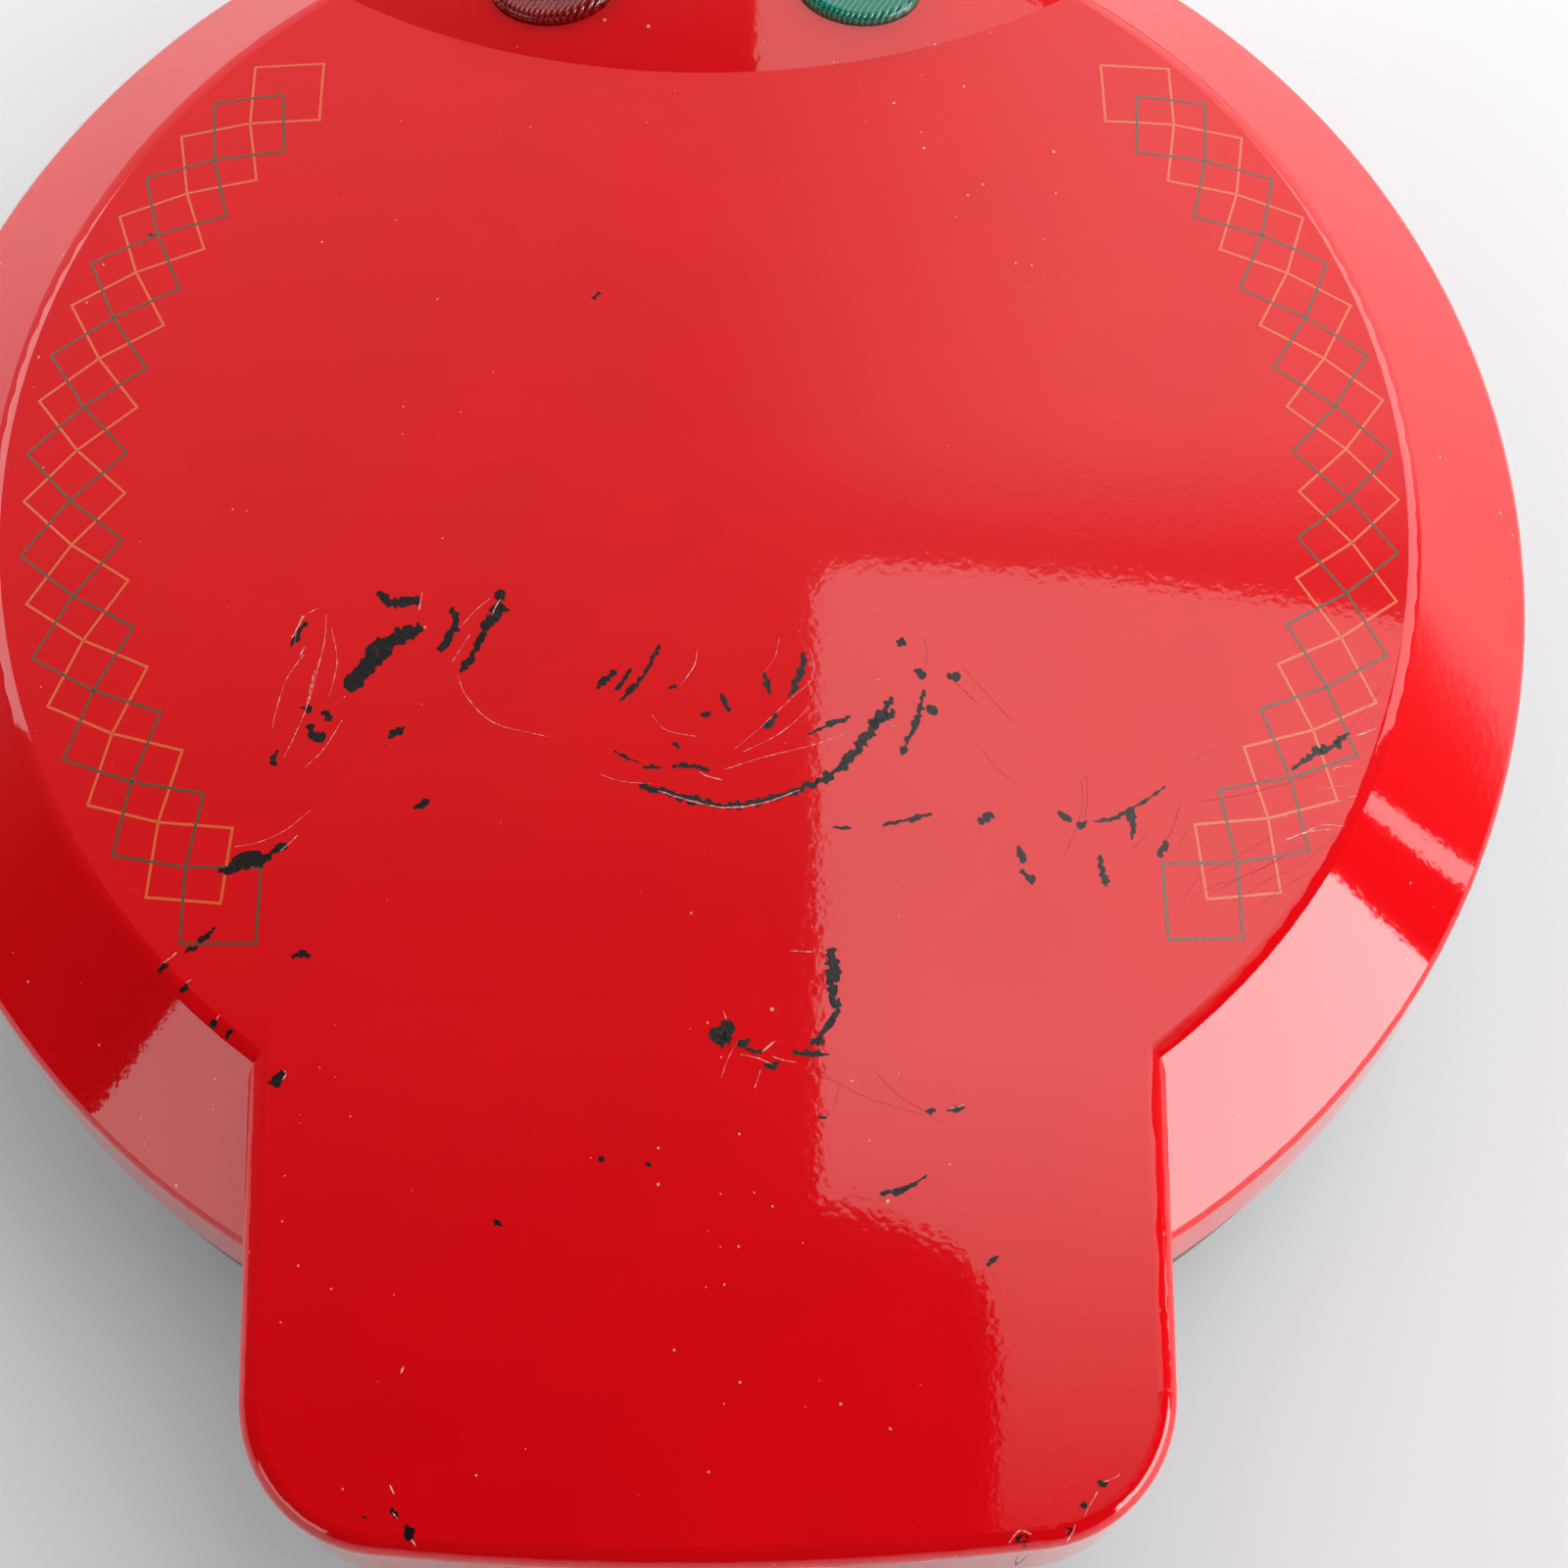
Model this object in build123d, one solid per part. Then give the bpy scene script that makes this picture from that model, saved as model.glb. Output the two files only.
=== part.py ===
from build123d import *
import math
import os

# Electric quesadilla maker. Millimetres, +Z up, the feet stand on Z = 0.
# The handle points to -Y and the hinge is at +Y. Pieces are drawn about the axis of the
# round plates and are moved by centre_y when written, so the origin is the bottom centre.

# Radii that the round pieces share
cook_r = 127.0           # ten inch cooking circle
plate_r = cook_r + 6.0
rim_r = plate_r + 15.5   # outside of the base rim

# Lid outline
skirt_r = rim_r + 0.5    # radius at the lid's open edge
band_r = skirt_r - 1.5   # radius where the sloping band meets the upright skirt
crease_r = band_r - 24.5   # radius where the dome meets the sloping band
skirt_h = 20.0
band_h = 21.5
dome_h = 10.7
lid_wall = 3.0
crease_fillet = 5.0
band_fillet = 3.0

# Handle on the lid, and its lower twin on the base
handle_half = 75.7       # half width at the open edge
handle_reach = rim_r + 31.5   # from the plate axis to the front edge
handle_bow = 6.0         # how far the front edge bows out
handle_corner = 25.0
handle_edge = 4.0        # rounding of the top edge
handle_crown_r = 700.0   # side to side crown of the handle's top
handle_rise = 6.4        # top over the crease plane where the handle leaves the dome
handle_leave_y = 47.5 - crease_r
handle_slope = 0.09
handle_bend_r = 1000.0
handle_inset = 1.0       # the base handle is this much smaller all round

# Raised hinge cover at the rear of the lid
cover_half = 73.0
cover_reach = rim_r + 11.5
cover_corner = 21.0
cover_edge = 6.0
cover_crown_r = 223.0
cover_rise = 5.8         # top over the crease plane where the cover leaves the dome
cover_leave_y = crease_r - 42.5
cover_slope = 0.3
cover_bend_r = 172.0
cover_rear_r = 20.0
draft = 1.5              # degrees, on the upright walls of handle and cover
handle_root_y = -60.0    # the handle and the cover run into the round part as far as these
cover_root_y = 60.0

# Base housing
rim_h = 14.0             # height of the upright rim above the bowl's curve
bowl_foot_r = rim_r - 36.5
bowl_floor_z = 5.0
base_wall = 2.8
seam_z = 50.0            # top of the base rim
seam_gap = 1.0
# Undersides of the base handle and of the block behind the bowl, as (y, z) points
grip_under = ((-60.0, 13.0), (-125.0, 20.0), (-5.0 - handle_reach, 27.0))
block_under = ((60.0, 6.0), (125.0, 9.0), (cover_reach + 5.0, 20.0))
grip_edge = 5.0
block_top_z = seam_z - 5.0   # step behind the plates, under the lid's rear edge
swing_r = 10.4           # clears the lid's rear edge as it swings about the hinge

# Hinge
hinge_y = cover_reach - 8.5
hinge_z = seam_z + 6.0
rod_d = 6.0
float_travel = 6.0       # how far the lid may rise for a thick filling
rod_clear = 0.06
slot_clear = 0.08
post_in = 44.0           # the base posts run from here
post_out = 60.0          # to here
post_half = 8.0
ear_in = 28.0
ear_hub_r = 8.0
ear_hub_lean = 22.0      # degrees, where an ear's rear edge meets its hub
ear_wall = 2.5           # round the hollow in each ear of the yoke
side_clear = 0.6

# Cooking plates
plate_t = 4.0
flange_t = 3.6
pocket_low = 8.0         # pocket depth of the lower plate
pocket_up = 6.0          # pocket depth of the upper plate
ridge_drop = 1.2         # the ridges stop this far short of the flange
ridge_w = 5.0            # width of a ridge's top
ridge_bevel = 2.5        # slope between the flange and the ridges
flange_round = 1.2
shoulder = 9.0           # from the cooking circle's edge to the flat of the plate's back
pocket_corner = 9.0
pocket_draft = 22.0
pocket_fillet = 2.5
pockets = 6

# Trim rings round the plates
ring_clear = 1.0         # gap between a plate and its ring
ring_t = 2.6
ring_sink = 1.0          # the ring's face lies this far behind the seam
ring_lip_t = 2.5
ring_lip_in = 3.4
ring_web = 2.5
fit_clear = 0.4
part_clear = 0.3         # between lesser pieces that only need to miss each other

pocket_rim = 6.0         # from the cooking circle's edge to a pocket's outer wall
well_in = cook_r + 1.6   # grease well in the flange
well_out = cook_r + 4.0
well_t = 0.9

# Heaters and reflectors
element_d = 6.6
element_r = 85.0
element_leg = 9.0
element_bend = 12.0
element_end_y = cook_r - 13.0
element_gap = 4.0        # where the channel's walls stop beside the legs
collar_d = element_d - 1.6   # insulator at each end of the heater
collar_l = 2.0
pin_d = 3.0
pin_len = 12.0
channel_t = 1.8
pan_t = 0.8
pan_step = 3.5           # from the ring's lip to the pan's wall
pan_port_d = element_d + 3.0   # the heater's legs leave through these
pan_depth = 21.0
strap_t = 1.2
strap_w = 9.0
strap_l = 24.0
strap_hole_d = 3.0
strap_hole_in = 3.5      # from the strap's end
strap_bearings = (0, 180, 270)
screw_len = 12.0
pan_floor_r = cook_r - 23.0
post_r = 60.0            # plate posts lie on this circle
post_d = 10.0
screw_d = 4.0
head_d = 7.6
head_h = 2.4
screw_clear = 0.05

# Lamps
lens_x = 27.7
lens_y = cover_reach - 62.0
lens_w = 23.0
lens_l = 15.0
lens_proud = 2.2
lens_clear = 0.15
lens_flange = 1.6
lens_flange_t = 1.5
lens_wall = 2.0
lens_roof = 0.5          # the hollow stops this far under the cover's surface
lens_round = 1.87
lens_seat = 4.2          # from the cover's surface to the top of the lens flange
lamp_d = 5.8
lamp_l = 11.0
lamp_drop = 2.0          # from the lens flange to the lamp's tip
lead_d = 0.8
lead_l = 5.0
lead_x = 1.3
holder_l = 9.0
holder_wall = 2.0
holder_flange_t = 1.5

# Controls on the plates and in the base
thermostat_at = (0, -38.0)
thermostat_d = 17.0
thermostat_h = 8.0
cap_over = 1.0           # the cap is this much wider than the disc's body
cap_t = 2.0
cap_ear_w = 8.0
cap_ear_t = 1.2
tab_x = 5.6
tab_w = 6.0
tab_t = 0.8
tab_l = 5.0
fuse_at = (26.0, 30.0)
fuse_d = 4.2
fuse_l = 13.0
fuse_wire_d = 1.2
fuse_wire_l = 12.0
terminal_size = (34.0, 18.0, 13.0)
terminal_ways = 3
terminal_bore_d = 4.8
terminal_screw_d = 3.6
terminal_y = cover_reach - 34.0
terminal_floor_z = 15.0
plinth = (12.0, 6.0)     # half sizes of the pad that the terminal block stands on

# Latch
latch_w = 34.0
latch_t = 3.5
latch_pin_y = 9.0 - handle_reach
latch_pin_z = seam_z + 16.0
latch_pin_d = 3.0
latch_hub_r = 4.2
latch_top_z = latch_pin_z + 4.0
latch_foot_z = seam_z - 14.5
latch_nose_h = 4.0
latch_nose_in = 4.0      # the nose is this much shorter than the clip at each end
latch_round = 3.0
latch_gap = 1.5
latch_ear = 4.5
latch_nose_gap = 0.5
latch_grooves = 4
groove_d = 1.4
groove_pitch = 2.6
groove_low = 5.0         # the first groove over the clip's foot
lip_y = latch_pin_y + 0.75   # front of the ring's edge that the latch hooks under
bay_back_y = latch_pin_y + 9.5
bay_floor_z = seam_z - 18.0
bay_wall = 1.5

# Rim screws, the same in base and lid
rim_angles = (0, 40, 140, 180, 220, 320)
rim_screw_r = plate_r + 7.0
handle_screw_x = 46.0
handle_screw_y = 28.0 - handle_reach
rim_screw_d = 3.2
rim_head_d = 6.4
rim_head_h = 2.2
boss_d = 8.0
socket_d = 12.0          # the base boss that takes the screw head
socket_seat_z = seam_z - 20.0
socket_top_z = seam_z - 10.0
pilot_depth = 11.0
pad_h = 2.6
pad_over = 1.0           # the ring's pads are this much wider than the bosses
shank_hole = 0.3         # extra radius of a hole that a shank only passes through
head_hole = 0.6          # extra radius of a socket that takes a head
slot_w = 1.0             # screwdriver slot

# Ribs and openings inside the shells
rib_t = 2.0
rib_x = (-46.0, 0.0, 46.0)
lid_rib_y = (12.0 - handle_reach, -8.0 - plate_r)
grip_rib_y = (20.0 - handle_reach, -2.0 - rim_r)
hub_wall = 2.0           # round the latch pin's hub
ear_rib_in = 10.0        # the ribs beside the windows start this far over the lid's edge
window_deep = 7.0        # the posts' windows, from the cover's rear face
yoke_rib_t = 3.0
yoke_rib_drop = 10.0
ear_run = 18.0           # length of an ear where it leaves the yoke's plate

# Feet and gland
foot_x = bowl_foot_r - 34.0
foot_y = bowl_foot_r - 38.0
foot_d = 22.0
foot_h = 7.0
foot_seat = 2.0
foot_clear = 0.1
foot_round = 2.0
gland_z = 31.0
gland_d = 11.0
gland_bore = 7.0
gland_flange = 1.2
gland_lip = 2.5
gland_y = cover_reach - 2.85
gland_slack = 0.5
vents = 12
vent_r = 62.0
vent_l = 26.0
vent_w = 3.0

# Yoke that carries the lid on the rod
yoke_t = 3.0
yoke_front_y = cover_reach - 40.0
yoke_rear_y = cover_reach - 13.0
yoke_screw_x = 33.0
yoke_screws_y = (cover_reach - 34.0, cover_reach - 20.0)
yoke_corner = 5.0
rod_bevel = 0.5
rod_cap_d = 10.0
rod_cap_t = 1.5
ear_rib_y = (yoke_rear_y + 3.0, cover_reach)

# Places worked out from the sizes above
seam_mid_z = seam_z + seam_gap / 2
lid_z = seam_z + seam_gap
band_z = lid_z + skirt_h
crease_z = band_z + band_h
dome_z = crease_z + dome_h
yoke_top_z = crease_z - 11.5
centre_y = (handle_reach - cover_reach) / 2
band_slope = math.atan2(band_h, band_r - crease_r)
dome_r = (crease_r ** 2 + dome_h ** 2) / (2 * dome_h)
dome_slope = math.asin(crease_r / dome_r)
skirt_flare = (skirt_r - band_r) / skirt_h
lean = math.tan(math.radians(draft))
upright = math.radians(90)
bowl_top_z = seam_z - rim_h
bowl_run = rim_r - bowl_foot_r
bowl_drop = bowl_top_z - bowl_floor_z
bowl_r = (bowl_run ** 2 + bowl_drop ** 2) / (2 * bowl_run)
flat_y = cover_leave_y + cover_slope * cover_bend_r
cover_z = crease_z + cover_rise + cover_slope ** 2 * cover_bend_r / 2
ring_r = plate_r + ring_clear
ring_out_r = min(rim_r - base_wall, skirt_r - lid_wall - skirt_flare * ring_t) - fit_clear
ring_top_z = seam_z - ring_sink
ring_low_z = ring_top_z - ring_t
lid_rib_z = (crease_z - 17.0, crease_z + 10.0)
grip_rib_z = (17.0, ring_low_z - 8.0)
flange_low_z = seam_z - flange_t
lip_low_z = flange_low_z - ring_lip_t
pan_floor_z = lip_low_z - pan_depth
post_top_z = hinge_z + float_travel
ear_out = post_in - side_clear
rod_half = post_out + side_clear + rod_cap_t
window_x = rod_half + 1.0
window_top_z = post_top_z + post_half + 7
over = 1.0               # how far cutting tools run past a face
tall_z = dome_z + 40     # outlines are drawn up to here and then trimmed


def rod(r, low, high, x=0, y=0):
    """An upright cylinder from one height to another."""
    return Pos(x, y, low) * Cylinder(r, high - low, align=(Align.CENTER, Align.CENTER, Align.MIN))


def cross_rod(r, x_from, x_to, y, z):
    """A cylinder along X."""
    length = x_to - x_from
    return Pos(x_from + length / 2, y, z) * Rot(0, 90, 0) * Cylinder(r, length)


def block(x, y, z):
    """A box from (low, high) pairs."""
    size = [high - low for low, high in (x, y, z)]
    middle = [(high + low) / 2 for low, high in (x, y, z)]
    return Pos(*middle) * Box(*size)


def turned(*outline):
    """A solid of revolution about the plate axis, from (radius, height) corners."""
    face = make_face(Polyline(*[(r, 0, z) for r, z in outline], close=True))
    return revolve(face, Axis.Z)


def both_sides(make):
    """The same thing made at +X and at -X."""
    return make(1) + make(-1)


def flip(shape):
    """Lower plate pieces turned over for the lid."""
    return mirror(shape, about=Plane.XY.offset(seam_mid_z))


def mitred(r, z, slope_a, slope_b, inset):
    """A corner of a turned outline, moved in so that both its sides move by the inset."""
    half = (slope_a + slope_b) / 2
    reach = inset / math.cos((slope_a - slope_b) / 2)
    return r - reach * math.sin(half), z - reach * math.cos(half)


def rounded(solid, edges, radius):
    """A fillet, left out where an inset outline leaves no radius."""
    return fillet(edges, radius) if radius > 0.4 else solid


def lid_round(inset, low):
    """Dome, sloping band and upright skirt, drawn down to the height low."""
    crease = mitred(crease_r, crease_z, dome_slope, band_slope, inset)
    foot = mitred(band_r, band_z, band_slope, upright, inset)
    edge_r = foot[0] + skirt_flare * (foot[1] - low)
    crown = (0, 0, dome_z - inset)
    crease_at = (crease[0], 0, crease[1])
    side = Polyline(crease_at, (foot[0], 0, foot[1]), (edge_r, 0, low), (0, 0, low), crown)
    solid = revolve(make_face(side + TangentArc(crown, crease_at, tangent=(1, 0, 0))), Axis.Z)
    rings = solid.edges().filter_by(GeomType.CIRCLE).sort_by(Axis.Z)
    crease_ring = [e for e in rings if abs(e.center().Z - crease[1]) < 0.01]
    foot_ring = [e for e in rings if abs(e.center().Z - foot[1]) < 0.01]
    solid = fillet(crease_ring, crease_fillet)
    foot_ring = [e for e in solid.edges().filter_by(GeomType.CIRCLE)
                 if abs(e.center().Z - foot[1]) < 0.01]
    return rounded(solid, foot_ring, band_fillet - inset)


def handle_plan(half, reach, corner, root_y):
    """Handle outline seen from above, with a bowed front and round corners."""
    corner_y = handle_bow - reach
    sides = Polyline((half, corner_y), (half, root_y), (-half, root_y), (-half, corner_y))
    face = make_face(sides + ThreePointArc((-half, corner_y), (0, -reach), (half, corner_y)))
    return fillet(face.vertices().sort_by(Axis.Y)[:2], corner)


def cover_plan(half, reach, corner, root_y):
    """Hinge cover outline seen from above."""
    face = make_face(Polyline((-half, root_y), (half, root_y), (half, reach), (-half, reach), close=True))
    return fillet(face.vertices().sort_by(Axis.Y)[-2:], corner)


def crowned(curve, from_y, to_y, low, crown_r, sweep):
    """A long block whose top follows a curve front to back and a crown side to side."""
    start = curve @ 0
    end = curve @ 1
    axis = Axis((0, 0, max(start.Z, end.Z) - crown_r), (0, 1, 0))
    sides = Polyline(end, (0, to_y, low), (0, from_y, low), start)
    solid = revolve(make_face(curve + sides), axis, sweep)
    return solid.rotate(axis, -sweep / 2)


def handle_top(y, inset=0):
    """Height of the handle's top along its middle."""
    out = handle_leave_y - y
    return crease_z + handle_rise - handle_slope * out - out ** 2 / (2 * handle_bend_r) - inset


def cover_top(y, inset=0):
    """Height of the hinge cover's top along its middle, up to where it runs level."""
    back = y - cover_leave_y
    return crease_z + cover_rise + cover_slope * back - back ** 2 / (2 * cover_bend_r) - inset


def top_rim(solid, axis, keep):
    """The edges round the top face, but not the one buried in the dome."""
    top = solid.faces().sort_by(Axis.Z)[-1]
    return top.edges().sort_by(axis)[keep]


def handle_form(inset, low):
    """Lid handle, filled."""
    wider = lean * (lid_z - low)
    plan = handle_plan(handle_half - inset + wider, handle_reach - inset + wider,
                       handle_corner - inset, handle_root_y)
    post = extrude(Pos(0, 0, low) * plan, tall_z - low, taper=draft)
    ys = (-50, -120, -200)
    curve = ThreePointArc(*[(0, y, handle_top(y, inset)) for y in ys])
    form = post & crowned(curve, ys[0], ys[2], low - over, handle_crown_r, 18)
    return rounded(form, top_rim(form, Axis.Y, slice(0, -1)), handle_edge - inset)


def cover_form(inset, low):
    """Hinge cover, filled."""
    wider = lean * (lid_z - low)
    plan = cover_plan(cover_half - inset + wider, cover_reach - inset + wider,
                      cover_corner - inset, cover_root_y)
    post = extrude(Pos(0, 0, low) * plan, tall_z - low, taper=draft)
    ys = (40, 90, flat_y)
    rise = ThreePointArc(*[(0, y, cover_top(y, inset)) for y in ys])
    rear_y = cover_reach + 10
    drop = (rear_y - flat_y) ** 2 / (2 * cover_rear_r * 3)
    fall = TangentArc(rise @ 1, (0, rear_y, cover_z - inset - drop), tangent=(0, 1, 0))
    axis = Axis((0, 0, cover_z - cover_crown_r), (0, 1, 0))
    sides = Polyline(fall @ 1, (0, rear_y, low - over), (0, ys[0], low - over), rise @ 0)
    top = revolve(make_face(rise + fall + sides), axis, 80).rotate(axis, -40)
    form = post & top
    return rounded(form, form.edges().filter_by(lambda e: on_cover_rim(e, inset)), cover_edge - inset)


def on_cover_rim(edge, inset):
    """Whether an edge of the hinge cover runs round its top."""
    middle = edge.center()
    high = middle.Z > band_z + 5
    level = edge.bounding_box().size.Z < 25
    outside = abs(middle.X) > cover_half - inset - 12 or middle.Y > cover_reach - inset - 12
    return high and level and outside


def lid_form(inset, low):
    """The whole lid outline, filled, moved in by the inset."""
    return lid_round(inset, low) + handle_form(inset, low) + cover_form(inset, low)


def ring_screw_points():
    """Where the screws round a trim ring stand, seen from above."""
    rim = [(rim_screw_r * math.cos(math.radians(a)), rim_screw_r * math.sin(math.radians(a)))
           for a in rim_angles]
    return rim + [(handle_screw_x, handle_screw_y), (-handle_screw_x, handle_screw_y)]


def yoke_screw_points():
    return [(x, y) for x in (-yoke_screw_x, yoke_screw_x) for y in yoke_screws_y]


def lens_place(side):
    """A plane on the hinge cover, square to its surface at the middle of a lens."""
    axis_z = cover_z - cover_crown_r
    ridge = cover_top(lens_y) - axis_z
    z = axis_z + math.sqrt(ridge ** 2 - lens_x ** 2)
    slope = cover_slope - (lens_y - cover_leave_y) / cover_bend_r
    normal = Vector(side * lens_x / (z - axis_z), -slope, 1).normalized()
    return Plane(origin=(side * lens_x, lens_y, z), x_dir=Vector(0, 1, 0).cross(normal), z_dir=normal)


def oval(place, grow, low, high):
    """An oval prism square to the hinge cover, between two depths from its surface."""
    outline = Ellipse(lens_w / 2 + grow, lens_l / 2 + grow)
    return place * extrude(Pos(0, 0, low) * outline, high - low)


def latch_notch(high):
    """The gap in the lid handle's front wall that the latch hangs in."""
    half = latch_w / 2 + latch_gap
    return block((-half, half), (-handle_reach - over, latch_pin_y + latch_hub_r + latch_gap),
                 (lid_z - over, high))


def rib(x, span_y, span_z):
    """A thin upright rib along Y."""
    return block((x - rib_t / 2, x + rib_t / 2), span_y, span_z)


def make_lid_shell():
    outer = lid_form(0, lid_z)
    hollow = lid_form(lid_wall, lid_z - over)
    middle = lid_form(lid_wall / 2, lid_z)
    inner = []
    for x, y in ring_screw_points():
        inner.append(rod(boss_d / 2, lid_z + ring_sink + ring_t + pad_h, dome_z, x, y))
    for x, y in yoke_screw_points():
        inner.append(rod(boss_d / 2, yoke_top_z, cover_z, x, y))
    inner += [rib(x, lid_rib_y, lid_rib_z) for x in rib_x]
    half = latch_w / 2 + latch_gap
    hub = latch_hub_r + hub_wall
    for side in (-1, 1):
        cheek = sorted((side * half, side * (half + latch_ear)))
        inner.append(block(cheek, (-handle_reach, latch_pin_y + hub), (latch_pin_z - hub, crease_z)))
        inner.append(rib(side * (ear_in - rib_t), ear_rib_y, (lid_z + ear_rib_in, window_top_z + ear_rib_in)))
    shell = (outer - hollow) + ((Part() + inner) & middle)
    for x, y in ring_screw_points():
        shell -= rod(rim_screw_d / 2 + screw_clear, lid_z, lid_z + ring_sink + ring_t + pad_h + pilot_depth, x, y)
    for x, y in yoke_screw_points():
        shell -= rod(rim_screw_d / 2 + screw_clear, yoke_top_z - over, yoke_top_z + pilot_depth, x, y)
    for side in (-1, 1):
        shell -= oval(lens_place(side), lens_clear, -3 * lid_wall, lid_wall)
        window = sorted((side * (ear_in - over), side * window_x))
        shell -= block(window, (cover_reach - window_deep, cover_reach + over), (lid_z - over, window_top_z))
    shell -= latch_notch(latch_top_z + latch_gap)
    shell -= cross_rod(latch_pin_d / 2 + screw_clear, -half - latch_ear, half + latch_ear, latch_pin_y, latch_pin_z)
    return shell


def bowl_form(inset, high):
    """The round part of the base housing, filled."""
    radius = bowl_r - inset
    middle_r = rim_r - bowl_r
    low = bowl_floor_z + inset
    floor_r = middle_r + math.sqrt(radius ** 2 - (bowl_top_z - low) ** 2)
    floor = (floor_r, 0, low)
    top = (rim_r - inset, 0, bowl_top_z)
    sides = Polyline(top, (rim_r - inset, 0, high), (0, 0, high), (0, 0, low), floor)
    return revolve(make_face(sides + TangentArc(top, floor, tangent=(0, 0, -1))), Axis.Z)


def under_curve(points, inset, half, high):
    """A wide block with a curved underside, from three (y, z) points."""
    (y_1, z_1), middle, (y_2, z_2) = points = [(y, z + inset) for y, z in points]
    arc = ThreePointArc(*[(0, y, z) for y, z in points])
    face = make_face(arc + Polyline((0, y_2, z_2), (0, y_2, high), (0, y_1, high), (0, y_1, z_1)))
    return extrude(face, half, dir=(1, 0, 0), both=True)


def grip_form(inset, high):
    """The base handle, filled. Its walls lean in towards its underside."""
    half = handle_half - handle_inset - inset
    reach = handle_reach - handle_inset - inset
    plan = handle_plan(half, reach, handle_corner - handle_inset - inset, handle_root_y)
    post = extrude(Pos(0, 0, high) * plan, -high, taper=draft)
    form = post & under_curve(grip_under, inset, handle_half + over, high)
    low_edges = form.faces().sort_by(Axis.Z)[0].edges().sort_by(Axis.Y)[:-1]
    return rounded(form, low_edges, grip_edge - inset)


def hinge_block_form(inset):
    """The block behind the bowl that carries the hinge posts, filled."""
    half = cover_half - handle_inset - inset
    high = block_top_z - inset
    plan = cover_plan(half, cover_reach - handle_inset - inset, cover_corner - inset, cover_root_y)
    block_post = extrude(Pos(0, 0, high) * plan, -high, taper=draft)
    form = block_post & under_curve(block_under, inset, cover_half + over, high)
    low_edges = form.faces().sort_by(Axis.Z)[0].edges().sort_by(Axis.Y)[1:]
    return rounded(form, low_edges, grip_edge - inset)


def hinge_post(side):
    """One slotted post that the rod rises and falls in."""
    span = sorted((side * post_in, side * post_out))
    foot = block(span, (hinge_y - post_half, hinge_y + post_half), (block_top_z - base_wall, post_top_z))
    post = foot + cross_rod(post_half, *span, hinge_y, post_top_z)
    slot_r = rod_d / 2 + slot_clear
    cut = block(span, (hinge_y - slot_r, hinge_y + slot_r), (hinge_z, post_top_z))
    for z in (hinge_z, post_top_z):
        cut += cross_rod(slot_r, *span, hinge_y, z)
    return post - cut


def make_lower_housing():
    open_top = seam_z + over
    outer = bowl_form(0, seam_z) + grip_form(0, seam_z) + hinge_block_form(0)
    hollow = bowl_form(base_wall, open_top) + grip_form(base_wall, open_top) + hinge_block_form(base_wall)
    middle = bowl_form(base_wall / 2, seam_z) + grip_form(base_wall / 2, seam_z) + hinge_block_form(base_wall / 2)
    bosses = [rod(socket_d / 2, 0, socket_top_z, x, y) for x, y in ring_screw_points()]
    bosses += [rib(x, grip_rib_y, grip_rib_z) for x in rib_x]
    bosses.append(bay(bay_wall))
    bosses.append(block((-plinth[0], plinth[0]), (terminal_y - plinth[1], terminal_y + plinth[1]),
                        (bowl_floor_z, terminal_floor_z)))
    housing = (outer - hollow) + ((Part() + bosses) & middle) + both_sides(hinge_post)
    for x, y in ring_screw_points():
        housing -= rod(rim_screw_d / 2 + shank_hole, 0, socket_top_z + over, x, y)
        housing -= rod(rim_head_d / 2 + head_hole, 0, socket_seat_z, x, y)
    for x, y in foot_points():
        housing -= rod(foot_d / 2 + foot_clear, 0, bowl_floor_z + foot_seat, x, y)
        housing += rod(foot_d / 2 + base_wall, bowl_floor_z + foot_seat, bowl_floor_z + foot_seat + base_wall, x, y)
    vent = Pos(0, vent_r, 0) * extrude(SlotOverall(vent_l, vent_w, rotation=90), bowl_floor_z + base_wall + over)
    housing -= [Rot(0, 0, n * 360 / vents) * vent for n in range(vents)]
    housing -= Pos(0, cover_reach, gland_z) * Rot(90, 0, 0) * Cylinder(gland_d / 2 + foot_clear, 4 * base_wall)
    housing -= cross_rod(swing_r, side_clear - post_in, post_in - side_clear, hinge_y, hinge_z)
    return housing - bay(0)


def bay(wall):
    """The recess behind the latch in the base handle, or with a wall thickness round it."""
    half = latch_w / 2 + latch_gap + wall
    return block((-half, half), (-handle_reach - over, bay_back_y + wall),
                 (bay_floor_z - wall, ring_low_z - fit_clear if wall else seam_z + over))


def foot_points():
    return [(x, y) for x in (-foot_x, foot_x) for y in (-foot_y, foot_y)]


def ring_outline(half, reach, corner):
    """Outline of a trim ring with its handle panel."""
    return Circle(ring_out_r) + handle_plan(half, reach, corner, handle_root_y)


def ring_rim(half, reach, corner):
    """A trim ring in the base's place: face, web and the lip that its plate sits on."""
    face = extrude(Pos(0, 0, ring_low_z) * ring_outline(half, reach, corner), ring_t)
    face -= rod(ring_r, ring_low_z - over, ring_top_z + over)
    web = rod(ring_r + ring_web, lip_low_z, ring_top_z) - rod(ring_r, lip_low_z - over, ring_top_z + over)
    lip = rod(ring_r + over, lip_low_z, flange_low_z) - rod(ring_r - ring_lip_in, lip_low_z - over, seam_z)
    return face + web + lip


def make_lower_trim_ring():
    cut = handle_inset + base_wall + fit_clear
    ring = ring_rim(handle_half - cut, handle_reach - cut, handle_corner - cut)
    for x, y in ring_screw_points():
        ring += rod(boss_d / 2, socket_top_z, ring_low_z, x, y)
        ring -= rod(rim_screw_d / 2 + screw_clear, socket_top_z - over, ring_top_z - over, x, y)
    half = latch_w / 2 + latch_gap
    return ring - block((-half - bay_wall, half + bay_wall), (-handle_reach, lip_y), (ring_low_z - over, seam_z))


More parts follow.
